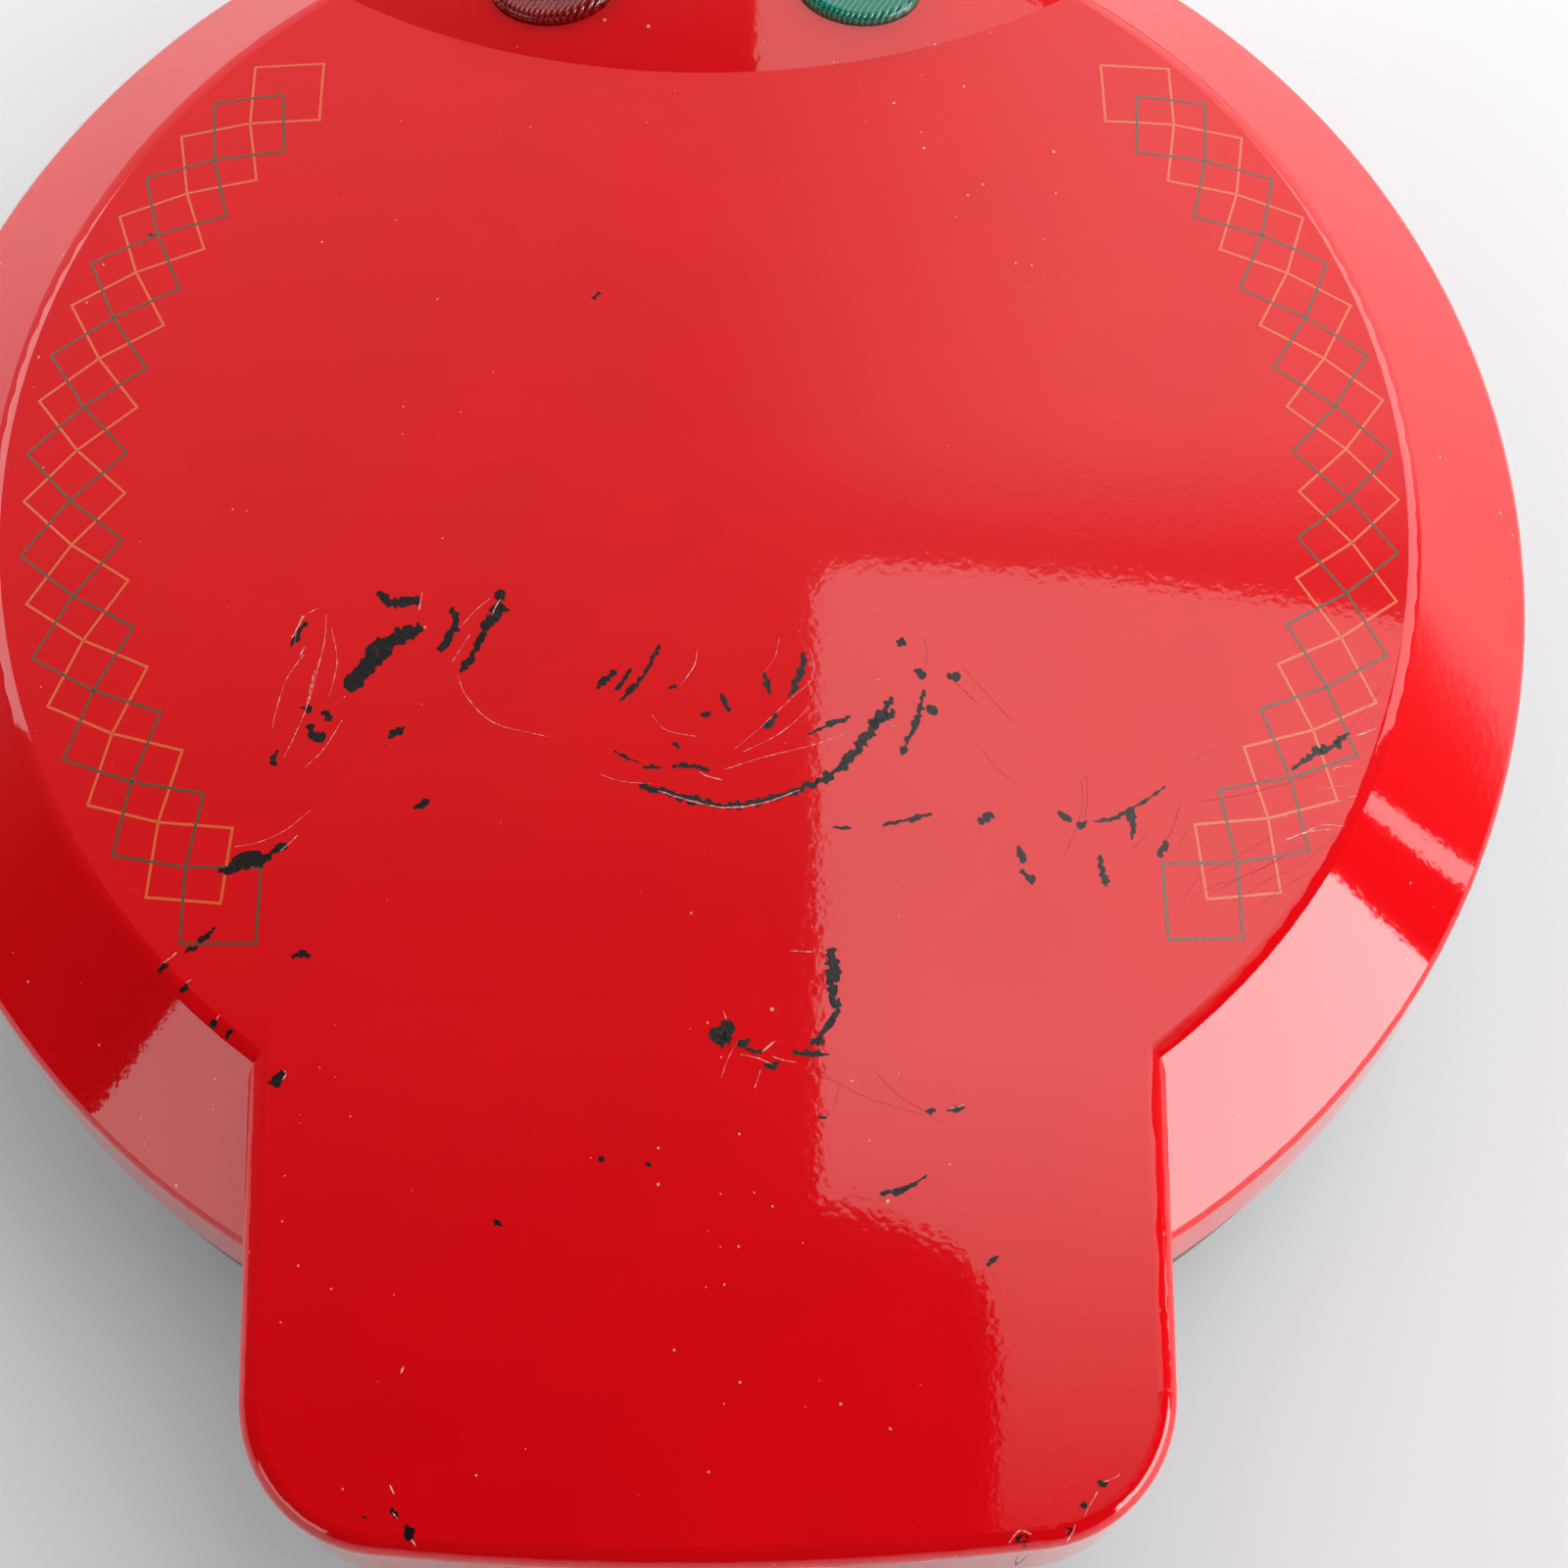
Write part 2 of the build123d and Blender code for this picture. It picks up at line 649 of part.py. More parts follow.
def make_upper_trim_ring():
    cut = lid_wall + fit_clear + lean * ring_t
    ring = flip(ring_rim(handle_half - cut, handle_reach - cut, handle_corner - cut))
    face_z = lid_z + ring_sink
    back_z = face_z + ring_t
    for x, y in ring_screw_points():
        ring += rod(boss_d / 2 + pad_over, back_z, back_z + pad_h, x, y)
        ring -= rod(rim_screw_d / 2 + shank_hole, face_z - over, back_z + pad_h + over, x, y)
        ring -= rod(rim_head_d / 2 + shank_hole, face_z - over, face_z + rim_head_h + part_clear, x, y)
    half = latch_w / 2 + latch_gap
    ring -= block((-half, half), (-handle_reach, latch_pin_y + latch_hub_r + latch_gap), (lid_z, back_z + over))
    sweep = post_top_z + post_half - hinge_z + over
    ring -= both_sides(lambda side: cross_rod(sweep, *sorted((side * (post_in - over), side * (post_out + over))),
                                              hinge_y, hinge_z))
    return ring


def pocket(depth):
    """One wedge pocket with rounded corners and sloping walls, pointing to +X."""
    half_angle = math.radians(180 / pockets)
    apex = ridge_w / 2 / math.sin(half_angle)
    reach = cook_r - pocket_rim
    # where a wall, offset from the ridge's middle line, meets the outer arc
    along = math.sqrt(reach ** 2 - (ridge_w / 2) ** 2)
    corner = Vector(along, -ridge_w / 2).rotate(Axis.Z, 180 / pockets)
    tip = Vector(apex, 0)
    low, high = Vector(corner.X, -corner.Y), corner
    face = make_face(Line(tip, low) + ThreePointArc(low, (reach, 0), high) + Line(high, tip))
    face = fillet(face.vertices(), pocket_corner)
    return extrude(Pos(0, 0, seam_z - ridge_drop) * face, -depth, taper=pocket_draft)


def make_plate(depth):
    """A cooking plate in the base's place, with six wedge pockets between its ridges."""
    ridge_z = seam_z - ridge_drop
    back_z = ridge_z - depth - plate_t
    back_r = cook_r - shoulder
    plate = turned((0, back_z), (back_r, back_z), (cook_r - shoulder / 3, flange_low_z), (plate_r, flange_low_z),
                   (plate_r, seam_z), (cook_r, seam_z), (cook_r - ridge_bevel, ridge_z), (0, ridge_z))
    rim = plate.edges().filter_by(GeomType.CIRCLE).group_by(Axis.Z)[-1].sort_by(SortBy.RADIUS)[-1]
    plate = fillet(rim, flange_round)
    cut = pocket(depth)
    floor = cut.faces().sort_by(Axis.Z)[0]
    cut = fillet(floor.edges(), pocket_fillet)
    plate -= [Rot(0, 0, n * 360 / pockets) * cut for n in range(pockets)]
    plate -= turned((well_in, seam_z - well_t), (well_out, seam_z - well_t), (well_out, seam_z + over),
                    (well_in, seam_z + over))
    channel_r = element_r + element_d / 2 + part_clear
    rib = rod(channel_r + channel_t, back_z - element_d, back_z) - rod(channel_r, back_z - element_d, back_z)
    inner_r = element_r - element_d / 2 - part_clear
    rib += rod(inner_r, back_z - element_d, back_z) - rod(inner_r - channel_t, back_z - element_d, back_z)
    gap = element_leg + element_bend + element_gap
    rib -= block((-gap, gap), (0, cook_r), (back_z - element_d, back_z))
    plate += rib
    for x, y in plate_post_points():
        plate += rod(post_d / 2, pan_floor_z, back_z, x, y)
        plate -= rod(screw_d / 2 + screw_clear, pan_floor_z - over, pan_floor_z + screw_len + over, x, y)
    return plate


def plate_post_points():
    return [(post_r * math.cos(math.radians(a)), post_r * math.sin(math.radians(a))) for a in (90, 210, 330)]


def arc_about(x, y, z, radius, start, end):
    """A level arc from one bearing to another, in degrees."""
    at = [(x + radius * math.cos(math.radians(a)), y + radius * math.sin(math.radians(a)), z)
          for a in (start, (start + end) / 2, end)]
    return ThreePointArc(*at)


def make_element(back_z):
    """A tubular heater: a broad ring with two legs to the rear and a pin in each."""
    z = back_z - element_d / 2
    bend_x = element_leg + element_bend
    bend_y = math.sqrt((element_r + element_bend) ** 2 - bend_x ** 2)
    bearing = math.degrees(math.atan2(bend_y, bend_x))
    right_leg = Line((element_leg, element_end_y, z), (element_leg, bend_y, z))
    right_bend = arc_about(bend_x, bend_y, z, element_bend, 180, 180 + bearing)
    left_leg = Line((-element_leg, bend_y, z), (-element_leg, element_end_y, z))
    left_bend = arc_about(-bend_x, bend_y, z, element_bend, -bearing, 0)
    ring = arc_about(0, 0, z, element_r, bearing, bearing - 2 * bearing - 180)
    path = Wire([right_leg, right_bend, ring, left_bend, left_leg])
    start = Plane(origin=(element_leg, element_end_y, z), z_dir=(0, -1, 0))
    tube = sweep(start * Circle(element_d / 2), path)
    for x in (-element_leg, element_leg):
        tube += Pos(x, element_end_y + pin_len / 2, z) * Rot(90, 0, 0) * Cylinder(pin_d / 2, pin_len)
        tube += Pos(x, element_end_y + collar_l / 2, z) * Rot(90, 0, 0) * Cylinder(collar_d / 2, collar_l)
    return tube


def make_pan(back_z):
    """The pressed reflector under a plate, with its flange below the ring's lip."""
    flange_r = ring_r - fit_clear
    top_in = ring_r - ring_lip_in - pan_step
    low = lip_low_z - pan_t
    slant = pan_t / math.cos(math.atan2(top_in - pan_floor_r, low - pan_floor_z))
    pan = turned((0, pan_floor_z - pan_t), (pan_floor_r, pan_floor_z - pan_t), (top_in + slant, low),
                 (flange_r, low), (flange_r, lip_low_z), (top_in, lip_low_z), (pan_floor_r - slant, pan_floor_z),
                 (0, pan_floor_z))
    for x, y in plate_post_points():
        pan -= rod(screw_d / 2 + shank_hole, pan_floor_z - pan_t - over, pan_floor_z + over, x, y)
    for x in (-element_leg, element_leg):
        leg_z = back_z - element_d / 2
        pan -= Pos(x, element_end_y, leg_z) * Rot(90, 0, 0) * Cylinder(pan_port_d / 2, 2 * pan_depth)
    return pan


def make_clamps(back_z):
    """Three straps that hold the heater in its channel."""
    high = back_z - element_d
    strap = block((element_r - strap_l / 2, element_r + strap_l / 2), (-strap_w / 2, strap_w / 2),
                  (high - strap_t, high))
    for x in (-1, 1):
        strap -= rod(strap_hole_d / 2, high - 2 * strap_t, high + over, element_r + x * (strap_l / 2 - strap_hole_in))
    return Part() + [Rot(0, 0, bearing) * strap for bearing in strap_bearings]


def screw(shank_r, head_r, head_t, x, y, low, length):
    """A slotted screw with its head down."""
    body = rod(head_r, low, low + head_t, x, y) + rod(shank_r, low + head_t, low + head_t + length, x, y)
    return body - block((x - head_r, x + head_r), (y - slot_w / 2, y + slot_w / 2), (low - over, low + head_t / 2))


def make_plate_screws():
    seat = pan_floor_z - pan_t
    return Part() + [screw(screw_d / 2, head_d / 2, head_h, x, y, seat - head_h, screw_len + pan_t)
                     for x, y in plate_post_points()]


def make_housing_screws():
    length = ring_top_z - 2 * over - socket_seat_z
    return Part() + [screw(rim_screw_d / 2, rim_head_d / 2, rim_head_h, x, y, socket_seat_z - rim_head_h, length)
                     for x, y in ring_screw_points()]


def make_lid_screws():
    low = lid_z + ring_sink + part_clear
    length = ring_t + pad_h + pilot_depth - rim_head_h - over
    return Part() + [screw(rim_screw_d / 2, rim_head_d / 2, rim_head_h, x, y, low, length)
                     for x, y in ring_screw_points()]


def make_thermostat(back_z):
    """A disc thermostat held to the plate's back by its two-eared cap."""
    x, y = thermostat_at
    body = rod(thermostat_d / 2, back_z - thermostat_h, back_z, x, y)
    cap = rod(thermostat_d / 2 + cap_over, back_z - cap_t, back_z, x, y)
    cap += block((x - thermostat_d, x + thermostat_d), (y - cap_ear_w / 2, y + cap_ear_w / 2), (back_z - cap_ear_t, back_z))
    tab_z = back_z - thermostat_h - tab_l / 2
    tabs = both_sides(lambda side: Pos(x + side * tab_x, y, tab_z) * Box(tab_t, tab_w, tab_l))
    return body + cap + tabs


def make_fuse(back_z):
    """A thermal fuse in its sleeve, lying along the plate's back."""
    x, y = fuse_at
    z = back_z - fuse_d / 2
    body = Pos(x, y, z) * Rot(90, 0, 0) * Cylinder(fuse_d / 2, fuse_l)
    wires = Pos(x, y, z) * Rot(90, 0, 0) * Cylinder(fuse_wire_d / 2, fuse_l + 2 * fuse_wire_l)
    return body + wires


def make_terminal_block():
    """A three-way ceramic terminal block standing on the hinge block's floor."""
    x, y, z = terminal_size
    floor = terminal_floor_z
    body = block((-x / 2, x / 2), (terminal_y - y / 2, terminal_y + y / 2), (floor, floor + z))
    for n in range(terminal_ways):
        at = (n - (terminal_ways - 1) / 2) * x / terminal_ways
        body -= Pos(at, terminal_y, floor + z / 2) * Rot(90, 0, 0) * Cylinder(terminal_bore_d / 2, y + 2 * over)
        body -= rod(terminal_screw_d / 2, floor + z / 2, floor + z + over, at, terminal_y)
    return body


def make_gland():
    """A rubber gland with a flange each side of the rear wall."""
    wall = base_wall + gland_slack
    at = Pos(0, gland_y, gland_z) * Rot(-90, 0, 0)
    length = wall + 2 * gland_flange
    body = at * Cylinder(gland_d / 2, length)
    for side in (-1, 1):
        ring = Cylinder(gland_d / 2 + gland_lip, gland_flange)
        body += at * Pos(0, 0, side * (wall + gland_flange) / 2) * ring
    return body - at * Cylinder(gland_bore / 2, length + 2 * over)


def make_foot(x, y):
    """A rubber foot seated in its pocket, with a rounded tread."""
    foot = rod(foot_d / 2, 0, foot_h, x, y)
    tread = foot.edges().filter_by(GeomType.CIRCLE).sort_by(Axis.Z)[0]
    return fillet(tread, foot_round)


def make_hinge_rod():
    body = cross_rod(rod_d / 2, -rod_half, rod_half, hinge_y, hinge_z)
    return chamfer(body.edges().filter_by(GeomType.CIRCLE), rod_bevel)


def make_rod_cap(side):
    """A push-on cap with a dished outer face."""
    span = sorted((side * (post_out + side_clear / 2), side * (post_out + side_clear / 2 + rod_cap_t)))
    cap = cross_rod(rod_cap_d / 2, *span, hinge_y, hinge_z)
    return cap - cross_rod(rod_d / 2, *span, hinge_y, hinge_z)


def make_yoke():
    """The bracket screwed under the hinge cover, with an ear on each side for the rod."""
    plate = block((-ear_out, ear_out), (yoke_front_y, yoke_rear_y), (yoke_top_z - yoke_t, yoke_top_z))
    plate = fillet(plate.edges().filter_by(Axis.Z), yoke_corner)
    root_rear_y = yoke_rear_y - over
    root_front_y = root_rear_y - ear_run
    hub_rear_y = hinge_y + ear_hub_r * math.cos(math.radians(ear_hub_lean))
    hub_rear_z = hinge_z + ear_hub_r * math.sin(math.radians(ear_hub_lean))

    def ear(side):
        span = sorted((side * ear_in, side * ear_out))
        outline = Polyline((0, root_rear_y, yoke_top_z), (0, hub_rear_y, hub_rear_z),
                           (0, hinge_y - ear_hub_r, hinge_z), (0, root_front_y, yoke_top_z - yoke_t),
                           (0, root_front_y, yoke_top_z), close=True)
        neck = Pos(span[0], 0, 0) * extrude(make_face(outline), span[1] - span[0], dir=(1, 0, 0))
        lighten = block((span[0] + ear_wall, span[1] - ear_wall),
                        (root_front_y + 2 * ear_wall, root_rear_y - 2 * ear_wall),
                        (hinge_z + ear_hub_r + ear_wall, yoke_top_z - yoke_t))
        return neck + cross_rod(ear_hub_r, *span, hinge_y, hinge_z) - lighten

    yoke = plate + both_sides(ear)
    yoke += block((-ear_in, ear_in), (root_front_y, root_front_y + yoke_rib_t), (yoke_top_z - yoke_rib_drop, yoke_top_z))
    yoke -= cross_rod(rod_d / 2 + rod_clear, -ear_out - over, ear_out + over, hinge_y, hinge_z)
    for x, y in yoke_screw_points():
        yoke -= rod(rim_screw_d / 2 + shank_hole, yoke_top_z - yoke_t - over, yoke_top_z + over, x, y)
        yoke -= rod(rim_head_d / 2 + head_hole, hinge_z, yoke_top_z - yoke_t, x, y)
    return yoke


def make_yoke_screws():
    low = yoke_top_z - yoke_t - rim_head_h
    return Part() + [screw(rim_screw_d / 2, rim_head_d / 2, rim_head_h, x, y, low, yoke_t + pilot_depth - 2 * over)
                     for x, y in yoke_screw_points()]


def make_lens(side):
    """An oval jewel lens: a rounded head through the cover and a flange behind it."""
    place = lens_place(side)
    head = oval(place, 0, -lens_seat, lens_proud)
    edge = head.faces().sort_by(lambda f: place.to_local_coords(f.center()).Z)[-1].edges()
    head = fillet(edge, lens_round)
    hollow = oval(place, -lens_wall, -lens_seat - lens_flange_t - over, -lens_roof)
    return head + oval(place, lens_flange, -lens_seat - lens_flange_t, -lens_seat) - hollow


def make_lamp_holder(side):
    """A socket behind a lens that grips a neon lamp."""
    place = lens_place(side)
    low = -lens_seat - lens_flange_t
    flange = oval(place, lens_flange, low - holder_flange_t, low)
    socket_z = low - holder_flange_t - holder_l / 2
    socket = place * (Pos(0, 0, socket_z) * Cylinder(lamp_d / 2 + holder_wall, holder_l))
    bore_l = holder_l + 2 * (holder_flange_t + over)
    bore = place * (Pos(0, 0, socket_z) * Cylinder(lamp_d / 2 + lens_clear, bore_l))
    return flange + socket - bore


def make_lamp(side):
    """A neon lamp with a domed tip and two leads."""
    place = lens_place(side)
    top = -lens_seat - lamp_drop
    glass = Pos(0, 0, top - lamp_l / 2) * Cylinder(lamp_d / 2, lamp_l)
    glass = fillet(glass.edges().filter_by(GeomType.CIRCLE).sort_by(Axis.Z)[-1], lamp_d / 2 - lead_d / 2)
    leads = both_sides(lambda side: Pos(side * lead_x, 0, top - lamp_l - over) * Cylinder(lead_d / 2, lead_l))
    return place * (glass + leads)


def make_latch():
    """The clip that hangs from the lid handle and hooks under the base's lip."""
    front = latch_pin_y - latch_hub_r - latch_t
    back = latch_pin_y - latch_hub_r
    plate = block((-latch_w / 2, latch_w / 2), (front, back), (latch_foot_z, latch_top_z))
    plate = fillet(plate.edges().filter_by(Axis.Y), latch_round)
    half = latch_w / 2 - latch_nose_in
    nose = block((-half, half), (back - over, lip_y - latch_nose_gap), (latch_foot_z, latch_foot_z + latch_nose_h))
    hub_half = latch_w / 2 - over
    hub = cross_rod(latch_hub_r, -hub_half, hub_half, latch_pin_y, latch_pin_z)
    web = block((-hub_half, hub_half), (back - over, latch_pin_y),
                (latch_pin_z - latch_hub_r / 2, latch_pin_z + latch_hub_r / 2))
    latch = plate + nose + hub + web
    for n in range(latch_grooves):
        latch -= cross_rod(groove_d / 2, -half + over, half - over, front, latch_foot_z + groove_low + n * groove_pitch)
    return latch - cross_rod(latch_pin_d / 2 + rod_clear, -latch_w, latch_w, latch_pin_y, latch_pin_z)


def make_latch_pin():
    half = latch_w / 2 + latch_gap + latch_ear - over / 2
    return cross_rod(latch_pin_d / 2, -half, half, latch_pin_y, latch_pin_z)


def write(name, shape):
    """Puts a piece in its place in the whole and writes its file."""
    export_step(Pos(0, centre_y, 0) * shape, os.path.join("parts", name + ".step"))


def main():
    os.makedirs("parts", exist_ok=True)
    low_back = seam_z - ridge_drop - pocket_low - plate_t
    up_back = seam_z - ridge_drop - pocket_up - plate_t

    write("lower_housing", make_lower_housing())
    write("lower_trim_ring", make_lower_trim_ring())
    write("lower_plate", make_plate(pocket_low))
    write("lower_element", make_element(low_back))
    write("lower_element_clamps", make_clamps(low_back))
    write("lower_reflector", make_pan(low_back))
    write("lower_plate_screws", make_plate_screws())
    write("housing_screws", make_housing_screws())
    write("lower_thermostat", make_thermostat(low_back))
    write("thermal_fuse", make_fuse(low_back))
    write("terminal_block", make_terminal_block())
    write("cord_gland", make_gland())
    for x, y in foot_points():
        place = ("front" if y < 0 else "rear") + ("_left" if x < 0 else "_right")
        write("foot_" + place, make_foot(x, y))

    write("hinge_rod", make_hinge_rod())
    write("rod_cap_left", make_rod_cap(-1))
    write("rod_cap_right", make_rod_cap(1))

    write("lid_shell", make_lid_shell())
    write("upper_trim_ring", make_upper_trim_ring())
    write("upper_plate", flip(make_plate(pocket_up)))
    write("upper_element", flip(make_element(up_back)))
    write("upper_element_clamps", flip(make_clamps(up_back)))
    write("upper_reflector", flip(make_pan(up_back)))
    write("upper_plate_screws", flip(make_plate_screws()))
    write("lid_screws", make_lid_screws())
    write("upper_thermostat", flip(make_thermostat(up_back)))
    write("hinge_yoke", make_yoke())
    write("yoke_screws", make_yoke_screws())
    for side, name in ((-1, "power"), (1, "ready")):
        write(name + "_lens", make_lens(side))
        write(name + "_lamp_holder", make_lamp_holder(side))
        write(name + "_lamp", make_lamp(side))
    write("latch", make_latch())
    write("latch_pin", make_latch_pin())


if __name__ == "__main__":
    main()
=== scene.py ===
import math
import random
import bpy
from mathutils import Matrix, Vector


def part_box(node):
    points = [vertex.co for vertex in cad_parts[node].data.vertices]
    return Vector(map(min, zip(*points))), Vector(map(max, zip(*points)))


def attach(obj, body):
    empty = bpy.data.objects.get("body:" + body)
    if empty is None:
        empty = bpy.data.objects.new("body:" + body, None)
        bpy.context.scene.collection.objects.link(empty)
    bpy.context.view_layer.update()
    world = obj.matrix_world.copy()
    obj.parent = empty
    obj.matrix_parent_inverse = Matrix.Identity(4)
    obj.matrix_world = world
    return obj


bl_info = {
    "name": "Quesadilla maker",
    "version": (1, 0, 0),
    "blender": (4, 5, 0),
    "location": "View3D > Sidebar > Quesadilla",
    "description": "Finishes, printed ornament, wear and studio for a red electric quesadilla maker",
    "category": "Object",
}

import bmesh
import bpy
from bpy.props import FloatProperty, FloatVectorProperty, IntProperty, PointerProperty
from mathutils import Matrix, Quaternion, Vector
from mathutils.bvhtree import BVHTree

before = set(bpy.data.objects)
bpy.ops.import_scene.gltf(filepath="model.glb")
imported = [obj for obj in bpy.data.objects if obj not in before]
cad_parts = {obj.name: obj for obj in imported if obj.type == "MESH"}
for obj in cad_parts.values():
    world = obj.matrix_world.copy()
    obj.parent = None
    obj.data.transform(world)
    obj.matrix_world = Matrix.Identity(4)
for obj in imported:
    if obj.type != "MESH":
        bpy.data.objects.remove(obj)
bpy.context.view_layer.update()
lid_surface = BVHTree.FromPolygons(
    [v.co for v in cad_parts["lid_shell"].data.vertices],
    [p.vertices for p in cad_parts["lid_shell"].data.polygons],
)

# The plates' axis, about which the round part of the lid is drawn
plate_low, plate_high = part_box("lower_plate")
axis_y = (plate_low.y + plate_high.y) / 2

MM = 0.001
PHOTO = 1600             # the photograph's frame, in pixels
DROP_FROM = 0.3          # films are dropped onto the lid from this height
SEED = 7
BOX_H = 1.6              # height of the key box overhead
FILL_H = 0.75            # height of the fill boxes at both sides
FLOOR_R = 6
FLOOR_SIDES = 96
# The key box's outline, as slopes from the upright across X and along Y
KEY_OUTLINE = (
    (0.088, 0.315), (0.094, 0.333), (0.108, 0.344), (0.14, 0.348), (1.05, 0.36), (1.05, -0.75),
    (0.248, -0.75), (0.248, -0.26), (0.236, -0.215), (0.205, -0.184), (0.16, -0.166),
    (0.12, -0.156), (0.088, -0.150),
)
FADE_FRONT = -0.4        # the key box is dimmest in front of this Y, a share of its height
FADE_REAR = -0.05        # and fully bright behind this one
FADE_LEFT_OVER = 0.12    # share of its brightness at its dim end
WAVE_PITCH = math.tau / 20    # pitch of a wave texture whose scale is 1
PAINT_THROUGH = 0.3      # share of the paint's red that shows through thin ink

# How a mark in the paint narrows: the power is for its swell, the rest are shares of its width
MARK_END = 0.3           # at both ends
MARK_SWELL = 0.4         # the power: a lower one keeps more of the mark wide
MARK_SHORT = 0.8         # all along a mark with only two cuts
MARK_LEAST = 0.15        # the least from its middle to an edge
MARK_OVERRUN = 0.35      # how far it runs past its first and last point
TOOTH_LIMIT = 3          # a tooth is at most a mark's width divided by this

# Wear seen on the lid, in pixels of the photograph: a width, then points along the mark.
CHIPS = (
    (13, (388, 607), (393, 612), (395, 616)),
    (12, (405, 615), (414, 614), (424, 614)),
    (22, (359, 698), (368, 688), (380, 673), (392, 659), (400, 653)),
    (15, (398, 654), (415, 646), (427, 644)),
    (8, (461, 622), (464, 637), (458, 651), (448, 661)),
    (10, (511, 605), (505, 625), (493, 645)),
    (7, (493, 645), (483, 667), (471, 684)),
    (9, (508, 620), (517, 622)),
    (7, (626, 685), (611, 701)),
    (4, (644, 684), (629, 703)),
    (5, (671, 659), (665, 676), (653, 694), (633, 714)),
    (5, (684, 702), (689, 701)),
    (5, (737, 709), (744, 725)),
    (6, (717, 728), (723, 727)),
    (6, (780, 687), (786, 707)),
    (7, (820, 668), (818, 686), (805, 709)),
    (6, (792, 731), (781, 742)),
    (6, (866, 732), (850, 738), (836, 744)),
    (3, (836, 744), (825, 749)),
    (8, (655, 803), (678, 807), (703, 815), (733, 822)),
    (8, (733, 822), (764, 820), (798, 811), (833, 798)),
    (10, (833, 798), (860, 781), (879, 759), (895, 737), (909, 714)),
    (8, (889, 738), (902, 733), (911, 727)),
    (3, (627, 767), (640, 773), (651, 778)),
    (4, (657, 782), (673, 783)),
    (5, (688, 782), (706, 782), (722, 787)),
    (6, (688, 759), (692, 762)),
    (8, (917, 655), (922, 657)),
    (9, (936, 685), (942, 689)),
    (9, (970, 691), (976, 688)),
    (7, (942, 706), (938, 728), (930, 748), (921, 768)),
    (7, (949, 721), (953, 728)),
    (7, (398, 751), (411, 743)),
    (6, (424, 824), (436, 817)),
    (7, (309, 722), (316, 723)),
    (9, (315, 742), (322, 750), (330, 751)),
    (8, (330, 728), (337, 732)),
    (8, (282, 768), (278, 778)),
    (6, (311, 636), (304, 648), (298, 658)),
    (9, (226, 889), (245, 884), (262, 880)),
    (15, (240, 882), (256, 877), (272, 876)),
    (7, (270, 876), (281, 867), (291, 863)),
    (6, (204, 960), (212, 954), (218, 948)),
    (5, (190, 971), (200, 966)),
    (6, (299, 976), (308, 973), (315, 975)),
    (7, (163, 989), (170, 985)),
    (6, (185, 1010), (190, 1007)),
    (6, (216, 1046), (219, 1043)),
    (6, (232, 1058), (235, 1052)),
    (11, (278, 1104), (288, 1098)),
    (5, (902, 842), (925, 837), (950, 831)),
    (3, (851, 844), (868, 845)),
    (8, (1001, 838), (1011, 832)),
    (6, (1081, 830), (1092, 837)),
    (7, (1101, 842), (1107, 839)),
    (5, (1118, 838), (1136, 835), (1153, 826)),
    (3, (1153, 826), (1172, 815), (1188, 803)),
    (8, (1153, 826), (1157, 841)),
    (5, (1157, 841), (1155, 855)),
    (8, (1040, 866), (1042, 878)),
    (8, (1043, 890), (1053, 899)),
    (5, (1122, 874), (1125, 890)),
    (8, (1125, 892), (1128, 902)),
    (7, (1183, 872), (1189, 860)),
    (10, (1342, 768), (1354, 765), (1364, 758)),
    (5, (1320, 785), (1335, 773), (1350, 765)),
    (5, (1362, 758), (1376, 749)),
    (15, (846, 973), (850, 985), (848, 997)),
    (8, (848, 997), (849, 1010), (853, 1026)),
    (6, (855, 1020), (852, 1036), (840, 1052), (829, 1065)),
    (8, (831, 1062), (839, 1063)),
    (6, (811, 1074), (828, 1075), (844, 1076)),
    (15, (729, 1057), (737, 1052), (744, 1047)),
    (12, (733, 1062), (743, 1060)),
    (8, (755, 1066), (763, 1062)),
    (4, (762, 1070), (777, 1074)),
    (7, (783, 1089), (793, 1085)),
    (6, (900, 1218), (917, 1215), (926, 1213)),
    (5, (926, 1213), (936, 1206), (944, 1200)),
    (5, (968, 1133), (983, 1130)),
    (6, (947, 1134), (953, 1133)),
    (5, (1009, 1291), (1018, 1283)),
    (5, (837, 1140), (842, 1140)),
    (6, (506, 1246), (511, 1250)),
    (4, (612, 1182), (615, 1184)),
    (3, (660, 1187), (664, 1189)),
    (6, (606, 303), (611, 300)),
    (3, (152, 238), (156, 240)),
    (9, (416, 1558), (419, 1568)),
    (5, (401, 1540), (404, 1548)),
    (3, (370, 1547), (373, 1549)),
    (8, (1123, 1512), (1127, 1514)),
    (6, (1104, 1536), (1106, 1534)),
    (9, (1040, 1570), (1046, 1570)),
    (9, (1047, 1579), (1051, 1581)),
    (6, (1090, 1563), (1093, 1561)),
)
